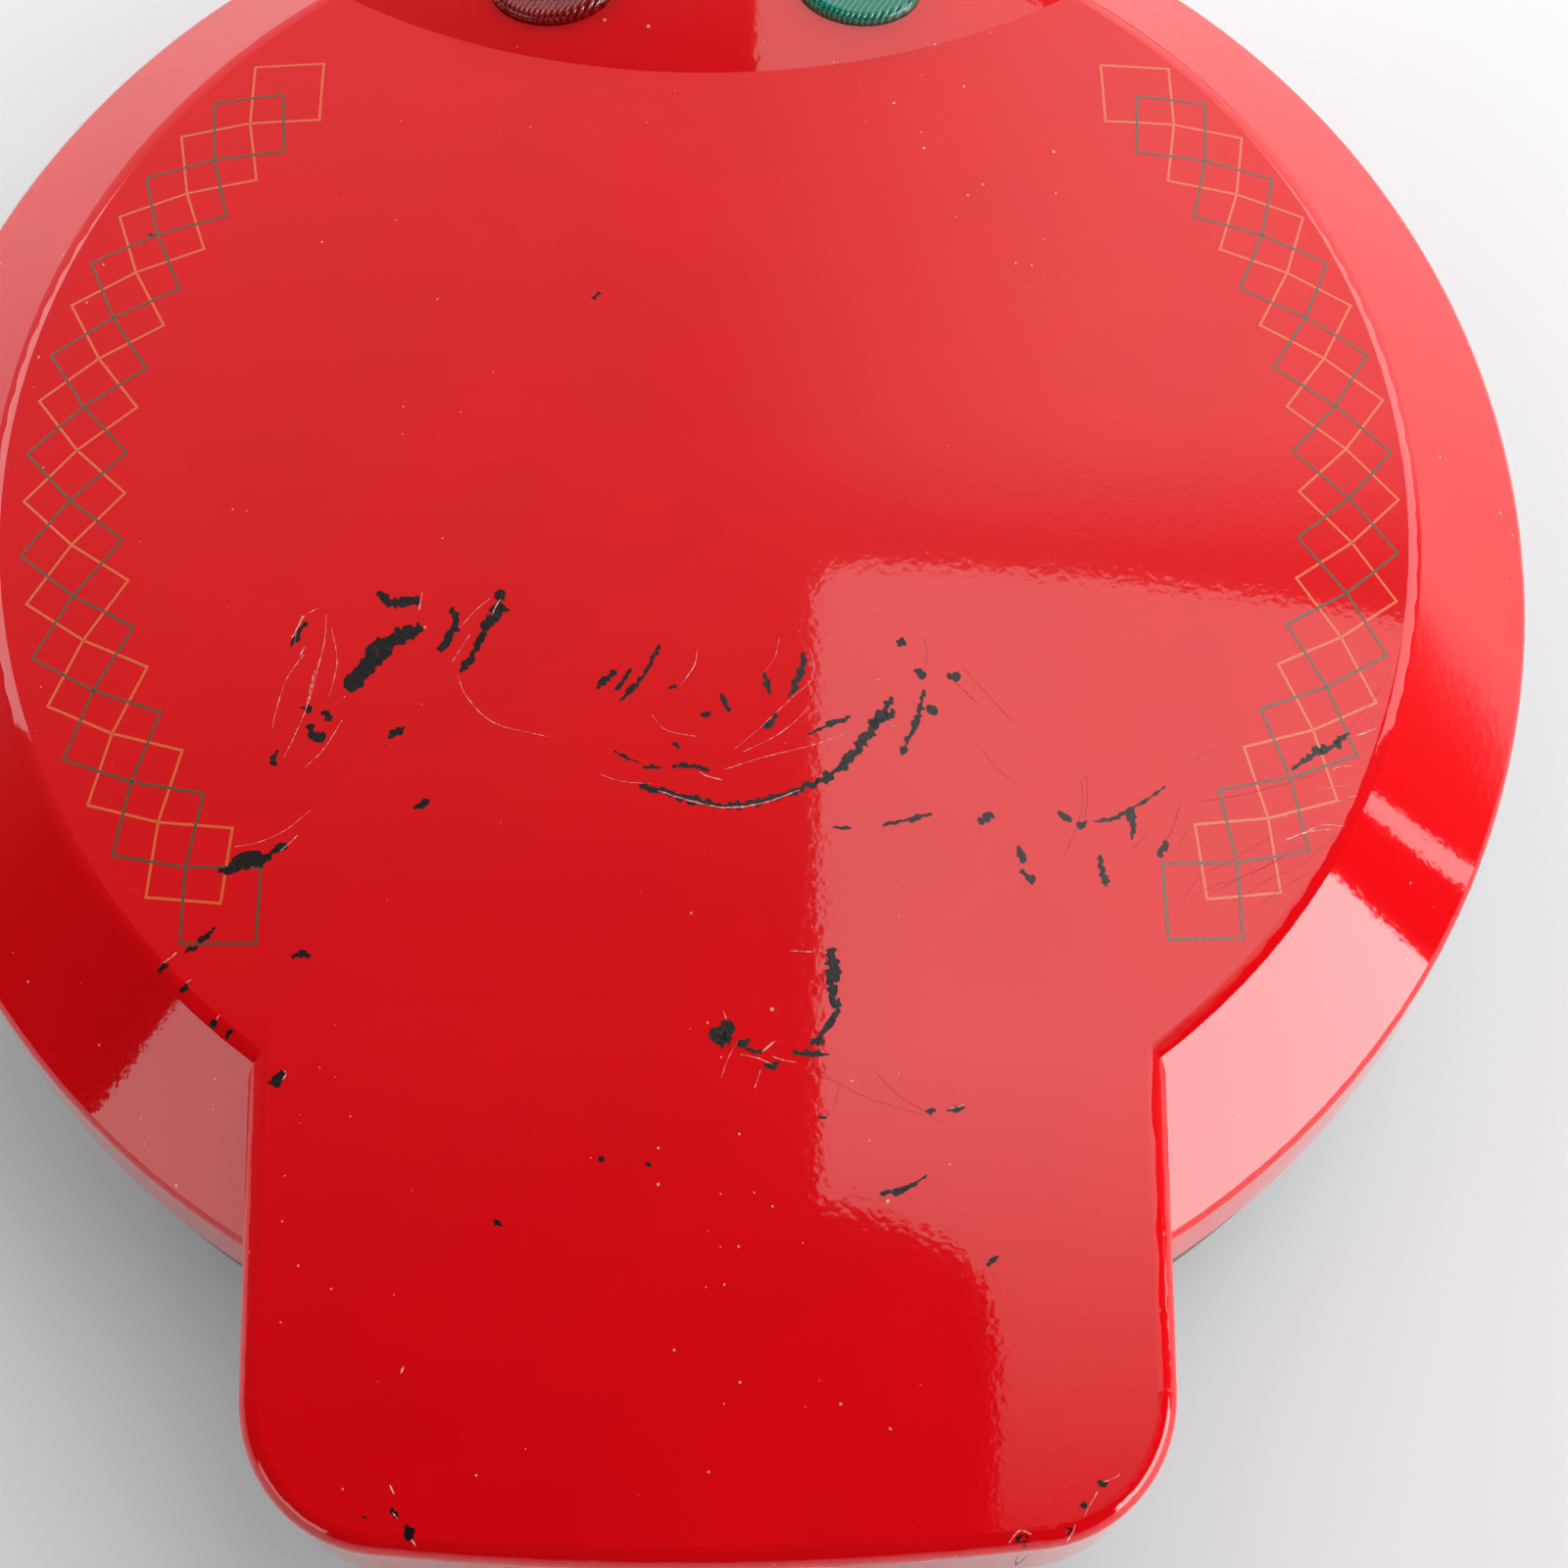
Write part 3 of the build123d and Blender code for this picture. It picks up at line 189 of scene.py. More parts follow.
PALE_SCRATCHES = (
    (1.0, (300, 660), (304, 640), (312, 628), (326, 620)),
    (1.2, (333, 628), (331, 655), (322, 690), (313, 722), (300, 752), (290, 772)),
    (1.0, (338, 640), (344, 675), (336, 710)),
    (0.8, (310, 668), (292, 694), (281, 728), (278, 742)),
    (1.5, (321, 684), (316, 706), (312, 725)),
    (1.0, (349, 735), (330, 765), (311, 783)),
    (2.5, (307, 668), (311, 660)),
    (2.5, (309, 629), (303, 642), (298, 650)),
    (0.8, (318, 826), (290, 848), (262, 860), (240, 864)),
    (1.5, (286, 868), (296, 860), (304, 852)),
    (0.8, (467, 690), (477, 712), (505, 738), (560, 752)),
    (0.8, (470, 640), (486, 622), (500, 611)),
    (1.8, (502, 628), (507, 617), (511, 612)),
    (0.8, (461, 676), (470, 662), (479, 648)),
    (0.9, (712, 663), (708, 680), (694, 700)),
    (0.8, (795, 652), (790, 672), (776, 690)),
    (0.8, (826, 660), (830, 690), (808, 712), (776, 742), (750, 764)),
    (0.8, (840, 690), (824, 722), (796, 748), (757, 768)),
    (0.9, (740, 785), (778, 773), (830, 760), (866, 747)),
    (0.7, (664, 800), (633, 797), (612, 790)),
    (0.7, (665, 730), (680, 745), (712, 752)),
    (1.3, (714, 788), (722, 792), (737, 796)),
    (2.2, (672, 807), (704, 817), (738, 824), (776, 820), (816, 806)),
    (2.2, (428, 622), (431, 604)),
    (0.8, (905, 735), (917, 746)),
    (1.6, (1378, 752), (1392, 748), (1404, 743)),
    (1.4, (1345, 805), (1365, 803), (1380, 800)),
    (2.2, (1310, 858), (1330, 850), (1356, 846)),
    (1.4, (1330, 850), (1350, 842), (1372, 843)),
    (1.5, (1358, 786), (1368, 782), (1378, 782)),
    (0.9, (1358, 822), (1372, 815), (1385, 812)),
    (3.0, (778, 1073), (786, 1066), (792, 1062)),
    (1.8, (756, 1076), (774, 1080), (788, 1086)),
    (1.2, (812, 1084), (800, 1082), (788, 1078)),
    (1.3, (806, 970), (824, 971), (840, 971)),
    (1.0, (752, 1063), (742, 1082), (736, 1100)),
    (1.0, (776, 1092), (772, 1104), (770, 1110)),
    (1.2, (738, 1032), (741, 1040)),
    (1.8, (166, 983), (175, 977), (180, 972)),
    (1.6, (190, 1003), (196, 999)),
    (1.4, (221, 1040), (224, 1036)),
    (2.2, (288, 1102), (292, 1096), (290, 1093)),
    (1.3, (1120, 1522), (1112, 1536), (1106, 1548)),
    (1.6, (1126, 1512), (1137, 1508), (1143, 1504)),
    (3.0, (1088, 1574), (1094, 1564), (1097, 1556)),
    (3.0, (1030, 1574), (1040, 1562), (1052, 1566)),
    (2.5, (409, 1401), (412, 1394)),
    (2.2, (398, 1516), (402, 1524)),
    (2.2, (420, 1571), (424, 1578)),
    (1.8, (401, 1544), (406, 1550)),
    (1.6, (970, 1131), (984, 1127)),
    (1.2, (903, 1220), (910, 1218)),
)
DARK_SCRATCHES = (
    (0.9, (1103, 796), (1105, 815), (1101, 838)),
    (0.9, (1108, 792), (1110, 812), (1107, 834)),
    (0.8, (1100, 842), (1093, 858), (1086, 872)),
    (1.0, (1204, 820), (1198, 842), (1188, 862)),
    (0.8, (1213, 846), (1203, 862)),
    (0.9, (1148, 868), (1160, 862), (1170, 850)),
    (0.8, (1250, 806), (1290, 797), (1330, 792), (1352, 780)),
    (0.8, (1225, 818), (1262, 812), (1310, 800), (1345, 790)),
    (0.8, (1208, 916), (1224, 896), (1262, 874), (1300, 852)),
    (0.9, (1216, 915), (1244, 902), (1284, 888), (1324, 862)),
    (1.2, (1236, 912), (1262, 898), (1300, 880), (1336, 858)),
    (0.8, (1258, 922), (1290, 900), (1330, 880), (1368, 850)),
    (0.8, (1262, 945), (1290, 920), (1322, 898), (1352, 886)),
    (1.0, (1376, 744), (1394, 722), (1410, 700)),
    (0.8, (980, 678), (1000, 700), (1020, 722), (1036, 738)),
    (0.9, (1238, 762), (1226, 770), (1216, 780)),
    (0.8, (1003, 765), (1018, 785), (1034, 797)),
    (0.9, (820, 1072), (840, 1095), (880, 1118), (944, 1138)),
    (1.0, (890, 1090), (915, 1116), (945, 1135), (962, 1146)),
    (0.8, (812, 1092), (840, 1100), (862, 1104)),
    (0.8, (857, 1106), (851, 1130)),
    (0.9, (968, 690), (1000, 720)),
    (0.9, (942, 650), (946, 664), (944, 684)),
)


class PaintSettings(bpy.types.PropertyGroup):
    colour: FloatVectorProperty(
        name="Paint", description="Red of the lid's paint", subtype="COLOR", size=4,
        min=0, max=1, default=(0.84, 0.002, 0.006, 1))
    gloss: FloatProperty(
        name="Roughness", description="Roughness of the gloss coat", subtype="FACTOR",
        min=0, max=1, default=0.045)
    peel_size: FloatProperty(
        name="Orange peel size", description="Width of a ripple in the paint", unit="LENGTH",
        default=1.5 * MM)
    peel_height: FloatProperty(
        name="Orange peel height", description="Height of a ripple in the paint", unit="LENGTH",
        default=0.011 * MM)
    speck_pitch: FloatProperty(
        name="Speck pitch", description="Spacing of the cells that may hold a pale speck",
        unit="LENGTH", default=2.6 * MM)


class PrintSettings(bpy.types.PropertyGroup):
    circle: FloatProperty(
        name="Circle radius", description="The printed squares stand on a circle of this radius",
        unit="LENGTH", default=109.9 * MM)
    half_diagonal: FloatProperty(
        name="Half diagonal", description="From a square's middle to its corner", unit="LENGTH",
        default=8.92 * MM)
    line: FloatProperty(
        name="Line width", description="Width of the printed lines", unit="LENGTH", default=0.44 * MM)
    pitch: FloatProperty(
        name="Pitch", description="Turn from one square to the next, about the plates' axis",
        subtype="ANGLE", default=math.radians(9.28))
    orange_start: FloatProperty(
        name="First orange square", description="Its bearing from the hinge side", subtype="ANGLE",
        default=math.radians(44.58))
    green_start: FloatProperty(
        name="First green square", description="Its bearing from the hinge side", subtype="ANGLE",
        default=math.radians(49.28))
    squares: IntProperty(
        name="Squares", description="Squares in each chain", default=10, min=1)
    orange: FloatVectorProperty(
        name="Orange ink", description="Colour of the first chain on the red", subtype="COLOR",
        size=4, min=0, max=1, default=(0.80, 0.15, 0.035, 1))
    green: FloatVectorProperty(
        name="Green ink", description="Colour of the second chain on the red", subtype="COLOR",
        size=4, min=0, max=1, default=(0.07, 0.085, 0.04, 1))


class WearSettings(bpy.types.PropertyGroup):
    lift: FloatProperty(
        name="Lift", description="How far a mark stands over the paint", unit="LENGTH",
        default=0.05 * MM)
    step: FloatProperty(
        name="Step", description="Spacing of the cuts along a mark", unit="LENGTH",
        default=0.32 * MM)
    tooth: FloatProperty(
        name="Tooth", description="Unevenness of a chip's torn edge", unit="LENGTH",
        default=0.55 * MM)
    scratch: FloatProperty(
        name="Scratch width", description="Width of the scratches, as a share of their drawn width",
        subtype="FACTOR", min=0, max=1, default=0.55)


class PlasticSettings(bpy.types.PropertyGroup):
    colour: FloatVectorProperty(
        name="Plastic", description="Colour of the moulded plastic", subtype="COLOR", size=4,
        min=0, max=1, default=(0.012, 0.012, 0.013, 1))
    grain: FloatProperty(
        name="Grain size", description="Width of the moulded texture's grains", unit="LENGTH",
        default=0.5 * MM)


class LensSettings(bpy.types.PropertyGroup):
    red: FloatVectorProperty(
        name="Red lens", description="Colour of the power lens", subtype="COLOR", size=4,
        min=0, max=1, default=(0.55, 0.005, 0.01, 1))
    green: FloatVectorProperty(
        name="Green lens", description="Colour of the ready lens", subtype="COLOR", size=4,
        min=0, max=1, default=(0.01, 0.52, 0.36, 1))
    rib_pitch: FloatProperty(
        name="Rib pitch", description="Spacing of the ribs under a lens", unit="LENGTH",
        default=0.9 * MM)
    rib_angle: FloatProperty(
        name="Rib angle", description="Slant of the ribs under a lens", subtype="ANGLE",
        default=math.radians(35))


class StudioSettings(bpy.types.PropertyGroup):
    floor_colour: FloatVectorProperty(
        name="Floor", description="Colour of the floor", subtype="COLOR", size=4, min=0, max=1,
        default=(0.93, 0.935, 0.95, 1))
    room: FloatProperty(name="Room light", description="Strength of the pale wall behind", default=0.85)
    overhead: FloatProperty(name="Overhead box", description="Brightness of the overhead box", default=2.5)
    fill: FloatProperty(name="Fill boxes", description="Brightness of the boxes at both sides", default=3.2)
    side_box: FloatProperty(name="Side box", description="Brightness of the box at the right", default=9.0)


def settings(name):
    return getattr(bpy.context.scene, "quesadilla_" + name)


# Camera, at the photograph's viewpoint
EYE = Vector((0.00324, -0.20327, 0.55304))
LOOK = Vector((0.0195, 0.3291, -0.9441)).normalized()
ROLL = math.radians(2.974)
FOCAL_PIXELS = 2974
SENSOR = 36


def camera_turn():
    return LOOK.to_track_quat("-Z", "Y") @ Quaternion((0, 0, 1), ROLL)


def seen_on_lid(px, py):
    """The point on the lid that a pixel of the photograph shows."""
    local = Vector((px - PHOTO / 2, PHOTO / 2 - py, -FOCAL_PIXELS)).normalized()
    hit = lid_surface.ray_cast(EYE, camera_turn() @ local)[0]
    if hit is None:
        raise RuntimeError(f"pixel {px}, {py} doesn't show the lid")
    return hit


def pixel_size(point):
    """The width that one pixel shows at a point, in metres."""
    return (point - EYE).dot(LOOK) / FOCAL_PIXELS


class Finish:
    """A material and its nodes, added one at a time."""

    def __init__(self, name, colour, roughness, **sockets):
        self.material = bpy.data.materials.new(name)
        self.material.use_nodes = True
        self.tree = self.material.node_tree
        self.shader = self.tree.nodes["Principled BSDF"]
        self.fill(self.shader, {"Base Color": colour, "Roughness": roughness, **sockets})
        self.place = self.add("ShaderNodeTexCoord").outputs["Object"]

    def fill(self, node, inputs):
        for key, value in inputs.items():
            if isinstance(value, bpy.types.NodeSocket):
                self.tree.links.new(value, node.inputs[key])
            else:
                node.inputs[key].default_value = value

    def add(self, kind, inputs=None, **options):
        node = self.tree.nodes.new(kind)
        for key, value in options.items():
            setattr(node, key, value)
        self.fill(node, inputs or {})
        return node

    def noise(self, size, detail=2.0, stretch=(1, 1, 1)):
        """Noise whose blobs are about one size across, from 0 to 1."""
        spread = self.add("ShaderNodeMapping", {"Vector": self.place, "Scale": stretch})
        return self.add("ShaderNodeTexNoise", {"Vector": spread.outputs[0], "Scale": 1 / size,
                                               "Detail": detail}).outputs["Fac"]

    def specks(self, pitch):
        """Specks of uneven size, in loose clusters, at most one to a cell of the pitch."""
        cells = self.add("ShaderNodeTexVoronoi", {"Vector": self.place, "Scale": 1 / pitch})
        cluster = self.between(self.noise(25 * pitch), 0.38, 0.6)
        chance = self.add("ShaderNodeSeparateColor", {"Color": cells.outputs["Color"]}).outputs["Red"]
        # sizes and distances are shares of the pitch
        largest = self.between(chance, 0.55, 1, end=0.13)
        size = self.add("ShaderNodeMath", {0: largest, 1: cluster}, operation="MULTIPLY").outputs[0]
        inside = self.add("ShaderNodeMath", {0: size, 1: cells.outputs["Distance"]}, operation="SUBTRACT")
        return self.between(inside.outputs[0], 0, 0.02, end=0.9)

    def between(self, value, low, high, start=0.0, end=1.0):
        """A value's stretch from low to high, spread from start to end."""
        node = self.add("ShaderNodeMapRange", {"Value": value, "From Min": low, "From Max": high,
                                               "To Min": start, "To Max": end})
        return node.outputs[0]

    def blend(self, share, one, other):
        node = self.add("ShaderNodeMix", data_type="RGBA")
        self.fill(node, {0: share, 6: one, 7: other})
        return node.outputs[2]

    def bumped(self, height, depth, strength=1.0):
        node = self.add("ShaderNodeBump", {"Height": height, "Distance": depth, "Strength": strength})
        return node.outputs[0]

    def use(self, **links):
        """Links outputs to the shader, named with underlines for spaces."""
        self.fill(self.shader, {key.replace("_", " "): value for key, value in links.items()})
        return self.material


def tinted(colour, share, add=0):
    """A colour made darker or paler, at most white."""
    return [min(1, c * share + add) for c in colour[:3]] + [1]


def clad(material, *nodes):
    """Gives CAD nodes their finished material."""
    for name in nodes:
        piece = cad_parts[name]
        if not piece.material_slots:
            piece.data.materials.append(material)
        for slot in piece.material_slots:
            slot.material = material


def mesh_from(shape, name):
    """A mesh that takes over a finished bmesh."""
    mesh = bpy.data.meshes.new(name)
    shape.to_mesh(mesh)
    shape.free()
    return mesh


def placed(name, data):
    """A new object in the scene for a mesh, a lamp or a camera."""
    made = bpy.data.objects.new(name, data)
    bpy.context.scene.collection.objects.link(made)
    return made


def piece_from(shape, name, material, body):
    """A finished mesh piece that rides on a body."""
    mesh = mesh_from(shape, name)
    piece = placed(name, mesh)
    mesh.materials.append(material)
    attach(piece, body)
    return piece


def dropped(x, y):
    """The lid's surface and its normal under a point seen from above."""
    hit, normal, *_ = lid_surface.ray_cast(Vector((x, y, DROP_FROM)), Vector((0, 0, -1)))
    return hit, normal


def lay_film(shape, lift):
    """Drops a flat film onto the lid, a little over the paint, and gives it a thin body."""
    for vert in shape.verts:
        hit, normal = dropped(vert.co.x, vert.co.y)
        if hit is None:
            raise RuntimeError(f"a film runs off the lid at {vert.co.x:.4f}, {vert.co.y:.4f}")
        vert.co = hit + normal * lift
    bmesh.ops.recalc_face_normals(shape, faces=shape.faces)
    if shape.faces and sum(f.normal.z for f in shape.faces) < 0:
        bmesh.ops.reverse_faces(shape, faces=shape.faces)
    bmesh.ops.solidify(shape, geom=shape.faces[:], thickness=2 * lift)


def smooth_route(points, step):
    """Evenly spaced points on a smooth line through the given ones."""
    ends = [2 * points[0] - points[1], *points, 2 * points[-1] - points[-2]]
    line = []
    for before, start, end, after in zip(ends, ends[1:], ends[2:], ends[3:]):
        count = max(1, round((end - start).length / step))
        for n in range(count):
            t = n / count
            line.append(0.5 * (2 * start + t * (end - before)
                               + t * t * (2 * before - 5 * start + 4 * end - after)
                               + t ** 3 * (3 * start - before - 3 * end + after)))
    return [*line, points[-1]]


def teeth(count, tooth, chance):
    """Uneven steps of a torn edge, each held for a few cuts."""
    steps = []
    while len(steps) < count:
        steps += [chance.uniform(-tooth, tooth)] * chance.randint(1, 3)
    return steps


def add_mark(shape, route, width, tooth, chance):
    """A torn strip along a route, narrow at its ends, as part of a flat film."""
    count = len(route)
    made = bmesh.ops.create_grid(shape, x_segments=count - 1, y_segments=1, size=0.5)["verts"]
    edges = {side: teeth(count, tooth, chance) for side in (-1, 1)}
    for vert in made:
        n = round((vert.co.x + 0.5) * (count - 1))
        side = 1 if vert.co.y > 0 else -1
        along = (route[min(n + 1, count - 1)] - route[max(n - 1, 0)]).normalized()
        across = Vector((-along.y, along.x))
        swell = max(0, math.sin(math.pi * n / (count - 1))) ** MARK_SWELL
        taper = MARK_END + (1 - MARK_END) * swell if count > 2 else MARK_SHORT
        half = max(width * MARK_LEAST, width / 2 * taper + edges[side][n])
        spot = route[n] + across * side * half
        vert.co = (spot.x, spot.y, 0)


def add_marks(marks, name, material, tooth, lift, chance, widen=1):
    """A piece with all marks of one kind, each where the photograph shows it."""
    wear = settings("wear")
    shape = bmesh.new()
    for width, *pixels in marks:
        spots = [seen_on_lid(*pixel) for pixel in pixels]
        width_here = width * pixel_size(spots[0]) * widen
        flat = [spot.to_2d() for spot in spots]
        outwards = (flat[-1] - flat[0]).normalized() * width_here * MARK_OVERRUN
        flat[0] -= outwards
        flat[-1] += outwards
        tooth_here = min(tooth, width_here / TOOTH_LIMIT)
        add_mark(shape, smooth_route(flat, wear.step), width_here, tooth_here, chance)
    lay_film(shape, lift)
    return piece_from(shape, name, material, "lid")


def black_plastic(name, roughness, bump):
    """Moulded plastic with a fine grain and a sheen that varies in soft clouds."""
    plastic = settings("plastic")
    finish = Finish(name, plastic.colour, roughness, **{"Specular IOR Level": 0.45})
    grain = finish.noise(plastic.grain, detail=3)
    cloud = finish.noise(30 * MM)
    sheen = finish.between(cloud, 0.3, 0.7, start=roughness - 0.05, end=roughness + 0.07)
    return finish.use(Roughness=sheen, Normal=finish.bumped(grain, bump))


def plated_steel(name, colour, roughness, stretch=(1, 1, 1)):
    """Plated or bare steel with fine drawing lines and a little haze."""
    finish = Finish(name, colour, roughness, Metallic=1.0)
    lines = finish.noise(0.4 * MM, stretch=stretch)
    haze = finish.between(finish.noise(9 * MM, detail=3), 0.35, 0.7)
    sheen = finish.between(lines, 0.3, 0.7, start=roughness - 0.08, end=roughness + 0.12)
    return finish.use(Base_Color=finish.blend(haze, colour, tinted(colour, 0.75)), Roughness=sheen,
                      Normal=finish.bumped(lines, 0.01 * MM))


class QUESADILLA_OT_paint_lid(bpy.types.Operator):
    """Paint the lid gloss red over its black plastic"""
    bl_idname = "quesadilla.paint_lid"
    bl_label = "Paint lid"

    def execute(self, context):
        paint = settings("paint")
        finish = Finish("red_paint", paint.colour, 0.5, **{
            "Coat Weight": 1.0, "Coat Roughness": paint.gloss, "Coat IOR": 1.5,
            "Specular IOR Level": 0.0})
        peel = finish.noise(paint.peel_size, 1.5)
        cloud = finish.noise(25 * MM, 2)
        uneven = finish.blend(cloud, paint.colour, tinted(paint.colour, 0.88))
        dusty = finish.blend(finish.specks(paint.speck_pitch), uneven, (0.88, 0.42, 0.38, 1))
        ripples = finish.bumped(peel, paint.peel_height)
        clad(finish.use(Base_Color=dusty, Coat_Normal=ripples), "lid_shell")
        return {"FINISHED"}


class QUESADILLA_OT_print_squares(bpy.types.Operator):
    """Print the two interlaced chains of squares on each side of the lid"""
    bl_idname = "quesadilla.print_squares"
    bl_label = "Print squares"

    def execute(self, context):
        ink = settings("print")
        # each chain: name, colour, first bearing, shift of the printing plate, lift over the paint
        chains = (("orange_print", ink.orange, ink.orange_start, (1.26 * MM, 0.98 * MM), 0.02 * MM),
                  ("green_print", ink.green, ink.green_start, (0.90 * MM, 0.55 * MM), 0.03 * MM))
        square = self.square_outline(ink)
        for name, colour, start, shift, lift in chains:
            shape = bmesh.new()
            for side in (-1, 1):
                for n in range(ink.squares):
                    turn = Matrix.Rotation(-side * (start + n * ink.pitch), 4, "Z")
                    middle = turn @ Vector((0, ink.circle, 0)) + Vector((shift[0], axis_y + shift[1], 0))
                    one = square.copy()
                    one.transform(Matrix.Translation(middle) @ turn)
                    shape.from_mesh(one)
            lay_film(shape, lift)
            finish = Finish(name, colour, 0.25, **{"Coat Weight": 0.6, "Coat Roughness": 0.06})
            thin = finish.between(finish.noise(0.5 * MM), 0.45, 0.8)
            mixed = [(1 - PAINT_THROUGH) * own + PAINT_THROUGH * red
                     for own, red in zip(colour, settings("paint").colour)]
            worn = finish.blend(thin, colour, mixed)
            piece_from(shape, name, finish.use(Base_Color=worn), "lid")
        return {"FINISHED"}

    def square_outline(self, ink):
        """A flat square frame, a corner towards the middle of the lid, cut finely along its sides."""
        shape = bmesh.new()
        outer = ink.half_diagonal + ink.line / math.sqrt(2)
        bmesh.ops.create_circle(shape, cap_ends=True, segments=4, radius=outer)
        middle = shape.faces[:]
        bmesh.ops.inset_individual(shape, faces=middle, thickness=ink.line, use_even_offset=True)
        bmesh.ops.delete(shape, geom=middle, context="FACES_ONLY")
        # the short edges are the mitres at the corners
        sides = [edge for edge in shape.edges if edge.calc_length() > 3 * ink.line]
        bmesh.ops.subdivide_edges(shape, edges=sides, cuts=11, use_grid_fill=True)
        return mesh_from(shape, "square")


class QUESADILLA_OT_wear_lid(bpy.types.Operator):
    """Chip and scratch the lid's paint where the photograph shows it worn"""
    bl_idname = "quesadilla.wear_lid"
    bl_label = "Wear lid"

    def execute(self, context):
        wear = settings("wear")
        chance = random.Random(SEED)
        red = settings("paint").colour
        bare = Finish("chipped_plastic", (0.006, 0.005, 0.005, 1), 0.3, **{"Specular IOR Level": 0.45})
        grain = bare.noise(0.6 * MM, 3)
        scuffed = bare.blend(bare.between(grain, 0.55, 0.8), (0.006, 0.005, 0.005, 1), (0.05, 0.035, 0.03, 1))
        bare.use(Base_Color=scuffed, Normal=bare.bumped(grain, 0.05 * MM))
        add_marks(CHIPS, "paint_chips", bare.material, wear.tooth, wear.lift, chance)
        pale = Finish("scratched_paint", red, 0.5)
        streak = pale.between(pale.noise(0.9 * MM, 3), 0.42, 0.62)
        pale.use(Base_Color=pale.blend(streak, (0.78, 0.10, 0.11, 1), (0.92, 0.62, 0.60, 1)))
        add_marks(PALE_SCRATCHES, "pale_scratches", pale.material, wear.tooth / 3,
                  wear.lift * 1.2, chance, wear.scratch)
        dark = Finish("deep_scratches", red, 0.45)
        line = dark.between(dark.noise(1.2 * MM, 2), 0.4, 0.6)
        dark.use(Base_Color=dark.blend(line, (0.45, 0.004, 0.006, 1), (0.70, 0.002, 0.006, 1)))
        add_marks(DARK_SCRATCHES, "dark_scratches", dark.material, wear.tooth / 4,
                  wear.lift * 0.9, chance, wear.scratch)
        return {"FINISHED"}


class QUESADILLA_OT_mould_plastic(bpy.types.Operator):
    """Finish the base, the trim rings, the hinge yoke and the latch as moulded black plastic"""
    bl_idname = "quesadilla.mould_plastic"
    bl_label = "Mould black plastic"

    def execute(self, context):
        clad(black_plastic("base_plastic", roughness=0.34, bump=0.006 * MM), "lower_housing", "latch")
        clad(black_plastic("trim_plastic", roughness=0.4, bump=0.012 * MM),
             "lower_trim_ring", "upper_trim_ring", "hinge_yoke")
        return {"FINISHED"}


class QUESADILLA_OT_coat_plates(bpy.types.Operator):
    """Give the cooking plates their speckled non-stick coat"""
    bl_idname = "quesadilla.coat_plates"
    bl_label = "Coat plates"

    def execute(self, context):
        finish = Finish("nonstick_coat", (0.03, 0.03, 0.033, 1), 0.38, Metallic=0.35)
        fleck = finish.noise(0.45 * MM, detail=3)
        stain = finish.noise(22 * MM, detail=4)
        grey = finish.blend(finish.between(fleck, 0.62, 0.7), (0.022, 0.022, 0.024, 1),
                            (0.13, 0.13, 0.135, 1))
        brown = finish.blend(finish.between(stain, 0.55, 0.75, end=0.5), grey, (0.05, 0.032, 0.02, 1))
        sheen = finish.between(stain, 0.3, 0.7, start=0.3, end=0.48)
        clad(finish.use(Base_Color=brown, Roughness=sheen, Normal=finish.bumped(fleck, 0.02 * MM)),
             "lower_plate", "upper_plate")
        return {"FINISHED"}


class QUESADILLA_OT_fit_heaters(bpy.types.Operator):
    """Finish the heaters, reflectors and the controls behind the plates"""
    bl_idname = "quesadilla.fit_heaters"
    bl_label = "Fit heaters and controls"

    def execute(self, context):
        sheath = Finish("heater_sheath", (0.16, 0.14, 0.13, 1), 0.45, Metallic=0.9)
        heat = sheath.noise(18 * MM, 3)
        tint = sheath.blend(sheath.between(heat, 0.35, 0.7), (0.15, 0.14, 0.14, 1), (0.20, 0.13, 0.085, 1))
        clad(sheath.use(Base_Color=tint), "lower_element", "upper_element")
        clad(plated_steel("aluminised_sheet", (0.72, 0.72, 0.70, 1), roughness=0.3, stretch=(1, 12, 1)),
             "lower_reflector", "upper_reflector")
        clad(plated_steel("tinned_cap", (0.66, 0.64, 0.60, 1), roughness=0.3),
             "lower_thermostat", "upper_thermostat", "thermal_fuse")
        fired = Finish("fired_ceramic", (0.80, 0.77, 0.70, 1), 0.7)
        body = fired.noise(1.2 * MM, detail=3)
        clad(fired.use(Normal=fired.bumped(body, 0.04 * MM)), "terminal_block")
        return {"FINISHED"}


class QUESADILLA_OT_fit_fasteners(bpy.types.Operator):
    """Finish the screws, clamps, hinge rod and pins as zinc plated steel"""
    bl_idname = "quesadilla.fit_fasteners"
    bl_label = "Fit fasteners"

    def execute(self, context):
        zinc = plated_steel("zinc_plate", (0.62, 0.63, 0.65, 1), roughness=0.28, stretch=(1, 1, 6))
        clad(zinc, "lower_plate_screws", "upper_plate_screws", "housing_screws", "lid_screws",
             "yoke_screws", "lower_element_clamps", "upper_element_clamps")
        rod = plated_steel("hinge_steel", (0.58, 0.58, 0.60, 1), roughness=0.22, stretch=(0.2, 6, 6))
        clad(rod, "hinge_rod", "rod_cap_left", "rod_cap_right", "latch_pin")
        return {"FINISHED"}


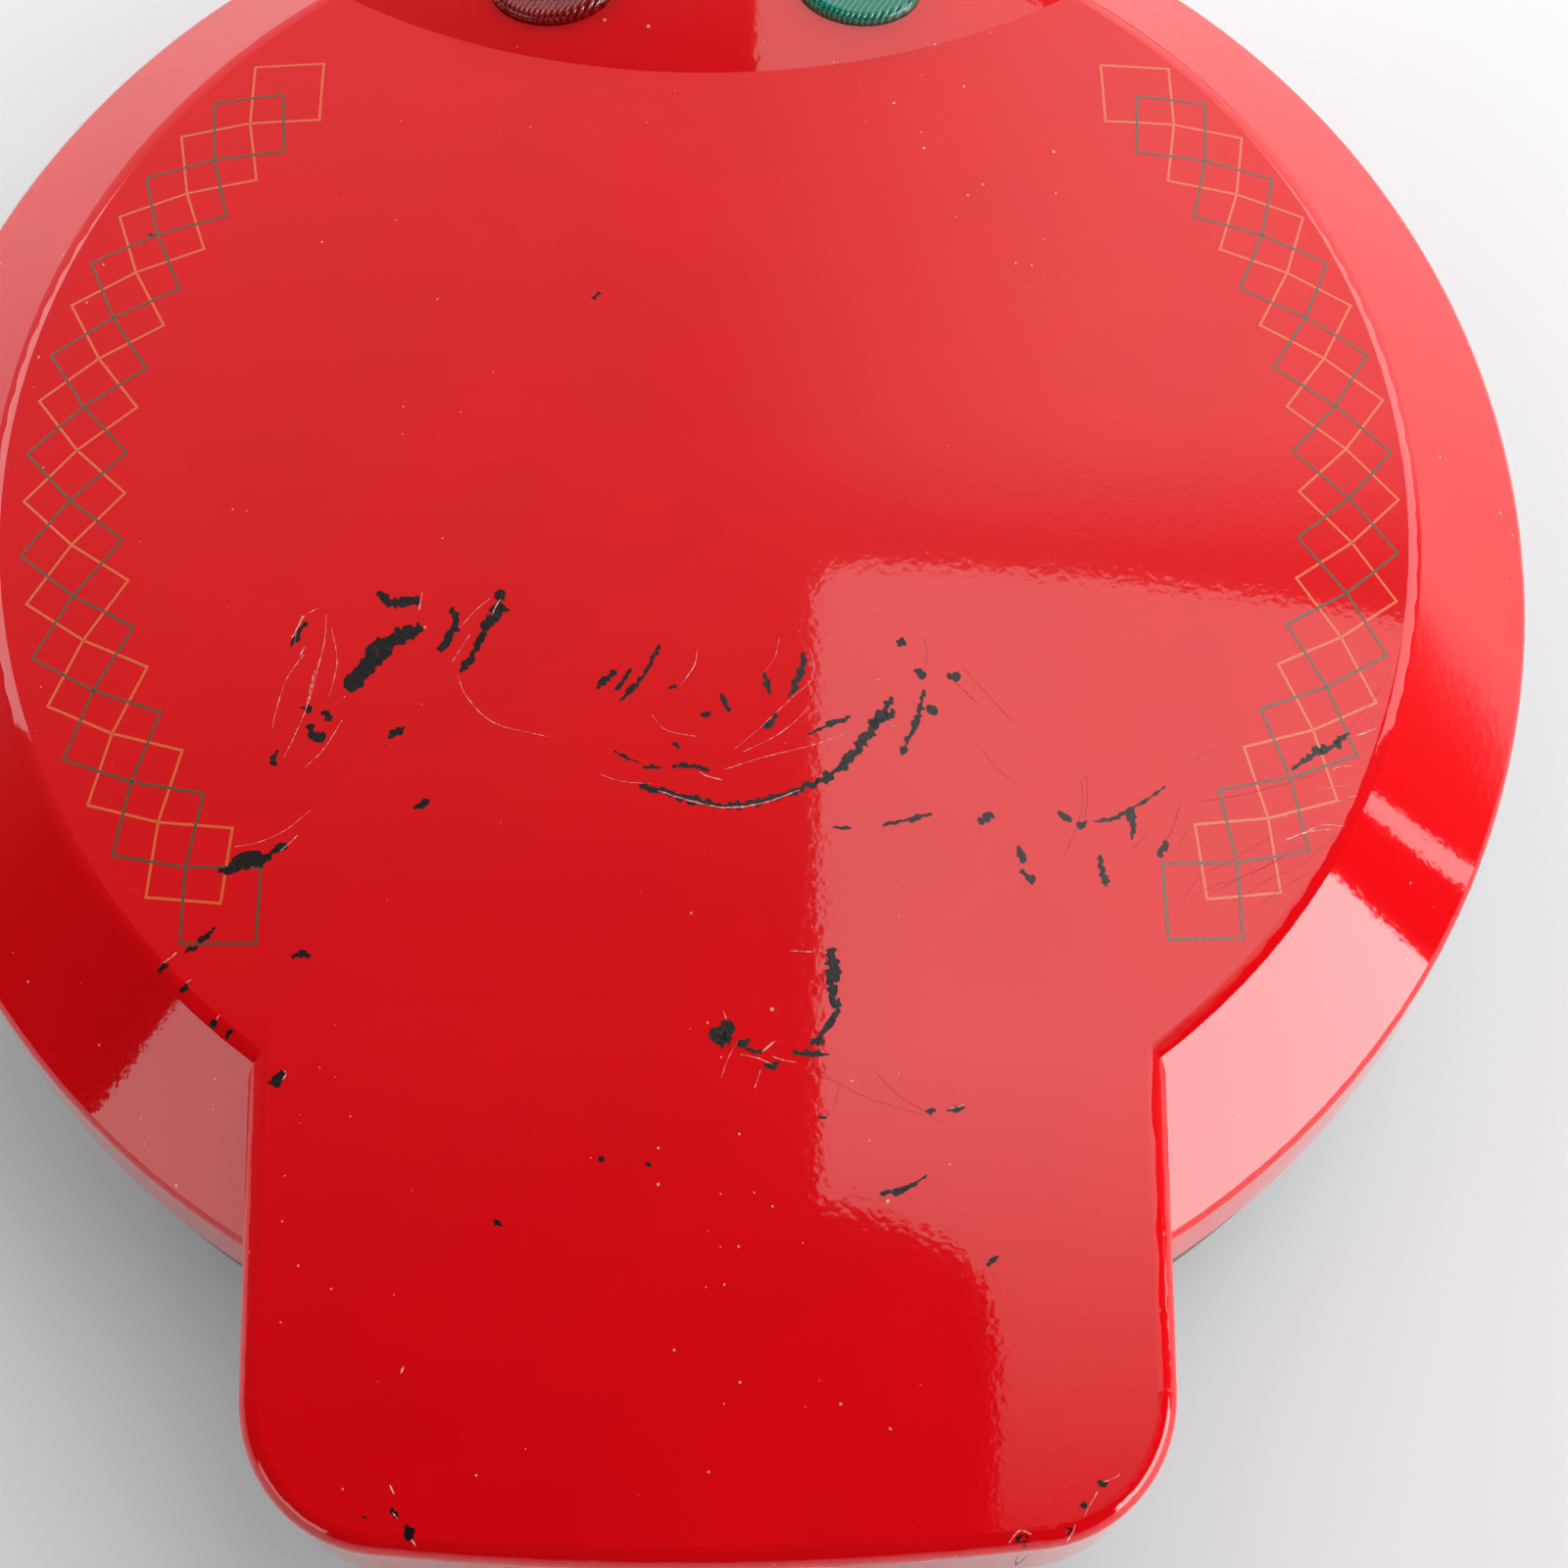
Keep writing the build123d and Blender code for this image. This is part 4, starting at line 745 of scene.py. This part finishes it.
class QUESADILLA_OT_seat_rubber(bpy.types.Operator):
    """Finish the feet and the cord gland as matt rubber"""
    bl_idname = "quesadilla.seat_rubber"
    bl_label = "Seat rubber"

    def execute(self, context):
        finish = Finish("black_rubber", (0.018, 0.018, 0.018, 1), 0.75)
        dust = finish.between(finish.noise(4 * MM, detail=4), 0.5, 0.8, end=0.5)
        tint = finish.blend(dust, (0.016, 0.016, 0.016, 1), (0.07, 0.066, 0.06, 1))
        clad(finish.use(Base_Color=tint, Normal=finish.bumped(finish.noise(0.6 * MM), 0.03 * MM)),
             "foot_front_left", "foot_front_right", "foot_rear_left", "foot_rear_right", "cord_gland")
        return {"FINISHED"}


class QUESADILLA_OT_glaze_lamps(bpy.types.Operator):
    """Finish the ribbed lenses, with painted light and shade along their ribs, the lamp holders and the lamps
    """
    bl_idname = "quesadilla.glaze_lamps"
    bl_label = "Glaze lamps"

    def execute(self, context):
        lens = settings("lens")
        for name, colour in (("power", lens.red), ("ready", lens.green)):
            glass = Finish(name + "_lens_plastic", colour, 0.05, IOR=1.49, **{
                "Transmission Weight": 0.7, "Coat Weight": 0.6, "Coat Roughness": 0.03})
            slant = glass.add("ShaderNodeMapping", {"Vector": glass.place,
                                                    "Rotation": (0, 0, lens.rib_angle)})
            ribs = glass.add("ShaderNodeTexWave", {"Vector": slant.outputs[0],
                                                   "Scale": WAVE_PITCH / lens.rib_pitch}).outputs["Fac"]
            # painted light and shade: the ribs' colour swings from a shaded copy of the lens colour to a lit
            # one
            painted_rib_shading = glass.blend(ribs, tinted(colour, 0.55), tinted(colour, 1.6, add=0.03))
            clad(glass.use(Base_Color=painted_rib_shading, Normal=glass.bumped(ribs, 0.15 * MM)), name + "_lens")
        nylon = Finish("lamp_nylon", (0.78, 0.77, 0.73, 1), 0.5)
        clad(nylon.material, "power_lamp_holder", "ready_lamp_holder")
        clear = Finish("lamp_glass", (0.9, 0.85, 0.8, 1), 0.05, IOR=1.5, **{"Transmission Weight": 1.0})
        clad(clear.material, "power_lamp", "ready_lamp")
        return {"FINISHED"}


class QUESADILLA_OT_light_stage(bpy.types.Operator):
    """Set up the pale floor, the light boxes and the camera"""
    bl_idname = "quesadilla.light_stage"
    bl_label = "Light stage"

    def execute(self, context):
        studio = settings("studio")
        self.add_floor(studio)
        self.add_key(studio)
        side = studio.side_box
        # name, brightness, then the left, right, front and rear edges of a box overhead, as slopes
        # from the upright: across X for the first two and along Y for the others
        overhead = (
            ("left_fill", studio.fill, -2.3, -0.85, 0.15, 1.7),
            ("right_fill", studio.fill, 1.2, 2.5, 0.1, 1.7),
        )
        for name, brightness, left, right, front, rear in overhead:
            size = ((right - left) * FILL_H, (rear - front) * FILL_H)
            middle = Vector(((left + right) / 2 * FILL_H, (front + rear) / 2 * FILL_H + axis_y, FILL_H))
            self.add_box(name, brightness, middle, Vector((0, 0, -1)), size)
        # name, brightness, bearing from the rear, distance, height, width and height of an upright box
        upright = (
            ("side_box", side, 122, 1.25, 0.24, (0.80, 0.40)),
            ("side_strip", side * 0.45, 96.5, 1.30, 0.24, (0.045, 0.40)),
            ("front_left_box", side * 0.26, 226, 1.20, 0.22, (0.62, 0.32)),
        )
        for name, brightness, bearing, distance, height, size in upright:
            out = Vector((math.sin(math.radians(bearing)), math.cos(math.radians(bearing)), 0))
            middle = out * distance + Vector((0, axis_y, height))
            self.add_box(name, brightness, middle, -out, size)
        self.add_room(studio)
        self.add_camera()
        return {"FINISHED"}

    def add_floor(self, studio):
        shape = bmesh.new()
        bmesh.ops.create_circle(shape, cap_ends=True, segments=FLOOR_SIDES, radius=FLOOR_R)
        mesh = mesh_from(shape, "floor")
        floor = placed("floor", mesh)
        finish = Finish("pale_floor", studio.floor_colour, 0.5)
        mesh.materials.append(finish.material)

    def add_box(self, name, brightness, middle, aim, size):
        lamp = bpy.data.lights.new(name, "AREA")
        lamp.shape = "RECTANGLE"
        lamp.size, lamp.size_y = size
        # an area lamp of this power has a radiance equal to its brightness
        lamp.energy = brightness * math.pi * size[0] * size[1]
        box = placed(name, lamp)
        box.location = middle
        box.rotation_mode = "QUATERNION"
        box.rotation_quaternion = aim.to_track_quat("-Z", "Y")

    def add_key(self, studio):
        """The overhead box at the right, rounded at its left corners and dimmer towards the front."""
        shape = bmesh.new()
        corners = [shape.verts.new((x * BOX_H, y * BOX_H + axis_y, BOX_H)) for x, y in KEY_OUTLINE]
        face = shape.faces.new(corners)
        if face.normal.z > 0:
            face.normal_flip()
        mesh = mesh_from(shape, "key_box")
        box = placed("key_box", mesh)
        glow = Finish("key_glow", (0, 0, 0, 1), 1.0, **{
            "Specular IOR Level": 0.0, "Emission Color": (1, 1, 1, 1)})
        along = glow.add("ShaderNodeSeparateXYZ", {"Vector": glow.place}).outputs["Y"]
        strength = glow.between(along, FADE_FRONT * BOX_H, FADE_REAR * BOX_H,
                                start=studio.overhead * FADE_LEFT_OVER, end=studio.overhead)
        mesh.materials.append(glow.use(Emission_Strength=strength))

    def add_room(self, studio):
        """A room that is dark towards the front and pale towards the rear, more so at the right."""
        world = bpy.data.worlds.new("room")
        bpy.context.scene.world = world
        world.use_nodes = True
        tree = world.node_tree
        way = tree.nodes.new("ShaderNodeTexCoord")
        split = tree.nodes.new("ShaderNodeSeparateXYZ")
        tree.links.new(way.outputs["Generated"], split.inputs[0])

        def fade(axis, start, end, low, high):
            node = tree.nodes.new("ShaderNodeMapRange")
            node.interpolation_type = "SMOOTHSTEP"
            for key, value in zip(("From Min", "From Max", "To Min", "To Max"), (start, end, low, high)):
                node.inputs[key].default_value = value
            tree.links.new(split.outputs[axis], node.inputs["Value"])
            return node.outputs[0]

        def joined(operation, one, other):
            node = tree.nodes.new("ShaderNodeMath")
            node.operation = operation
            tree.links.new(one, node.inputs[0])
            tree.links.new(other, node.inputs[1])
            return node.outputs[0]

        wall = fade("Y", -0.25, 1.0, studio.room * 0.03, studio.room)
        right_wall = joined("MULTIPLY", fade("Y", 0.34, 0.48, 0, studio.room), fade("X", -0.05, 0.35, 0, 1.3))
        background = tree.nodes["Background"]
        background.inputs["Color"].default_value = (1, 1, 1, 1)
        tree.links.new(joined("ADD", wall, right_wall), background.inputs["Strength"])

    def add_camera(self):
        data = bpy.data.cameras.new("camera")
        data.sensor_width = SENSOR
        data.lens = FOCAL_PIXELS / PHOTO * SENSOR
        data.clip_start = 0.01
        camera = placed("camera", data)
        camera.location = EYE
        camera.rotation_mode = "QUATERNION"
        camera.rotation_quaternion = camera_turn()
        bpy.context.scene.camera = camera


SETTINGS = {"paint": PaintSettings, "print": PrintSettings, "wear": WearSettings,
            "plastic": PlasticSettings, "lens": LensSettings, "studio": StudioSettings}
OPERATORS = (QUESADILLA_OT_paint_lid, QUESADILLA_OT_print_squares, QUESADILLA_OT_wear_lid,
             QUESADILLA_OT_mould_plastic, QUESADILLA_OT_coat_plates, QUESADILLA_OT_fit_heaters,
             QUESADILLA_OT_fit_fasteners, QUESADILLA_OT_seat_rubber, QUESADILLA_OT_glaze_lamps,
             QUESADILLA_OT_light_stage)


class QUESADILLA_PT_panel(bpy.types.Panel):
    """Sizes, colours and steps of the quesadilla maker"""
    bl_idname = "QUESADILLA_PT_panel"
    bl_label = "Quesadilla maker"
    bl_space_type = "VIEW_3D"
    bl_region_type = "UI"
    bl_category = "Quesadilla"

    def draw(self, context):
        for step in OPERATORS:
            self.layout.operator(step.bl_idname)
        for name, group in SETTINGS.items():
            box = self.layout.box()
            box.label(text=name.capitalize())
            for key in group.__annotations__:
                box.prop(settings(name), key)


def register():
    for group in SETTINGS.values():
        bpy.utils.register_class(group)
    for name, group in SETTINGS.items():
        setattr(bpy.types.Scene, "quesadilla_" + name, PointerProperty(type=group))
    for kind in (*OPERATORS, QUESADILLA_PT_panel):
        bpy.utils.register_class(kind)


def unregister():
    for kind in reversed((*OPERATORS, QUESADILLA_PT_panel)):
        bpy.utils.unregister_class(kind)
    for name in SETTINGS:
        delattr(bpy.types.Scene, "quesadilla_" + name)
    for group in reversed(list(SETTINGS.values())):
        bpy.utils.unregister_class(group)


def main():
    register()
    bpy.context.scene.view_settings.view_transform = "Standard"
    for step in OPERATORS:
        family, name = step.bl_idname.split(".")
        getattr(getattr(bpy.ops, family), name)()


if __name__ == "__main__":
    main()
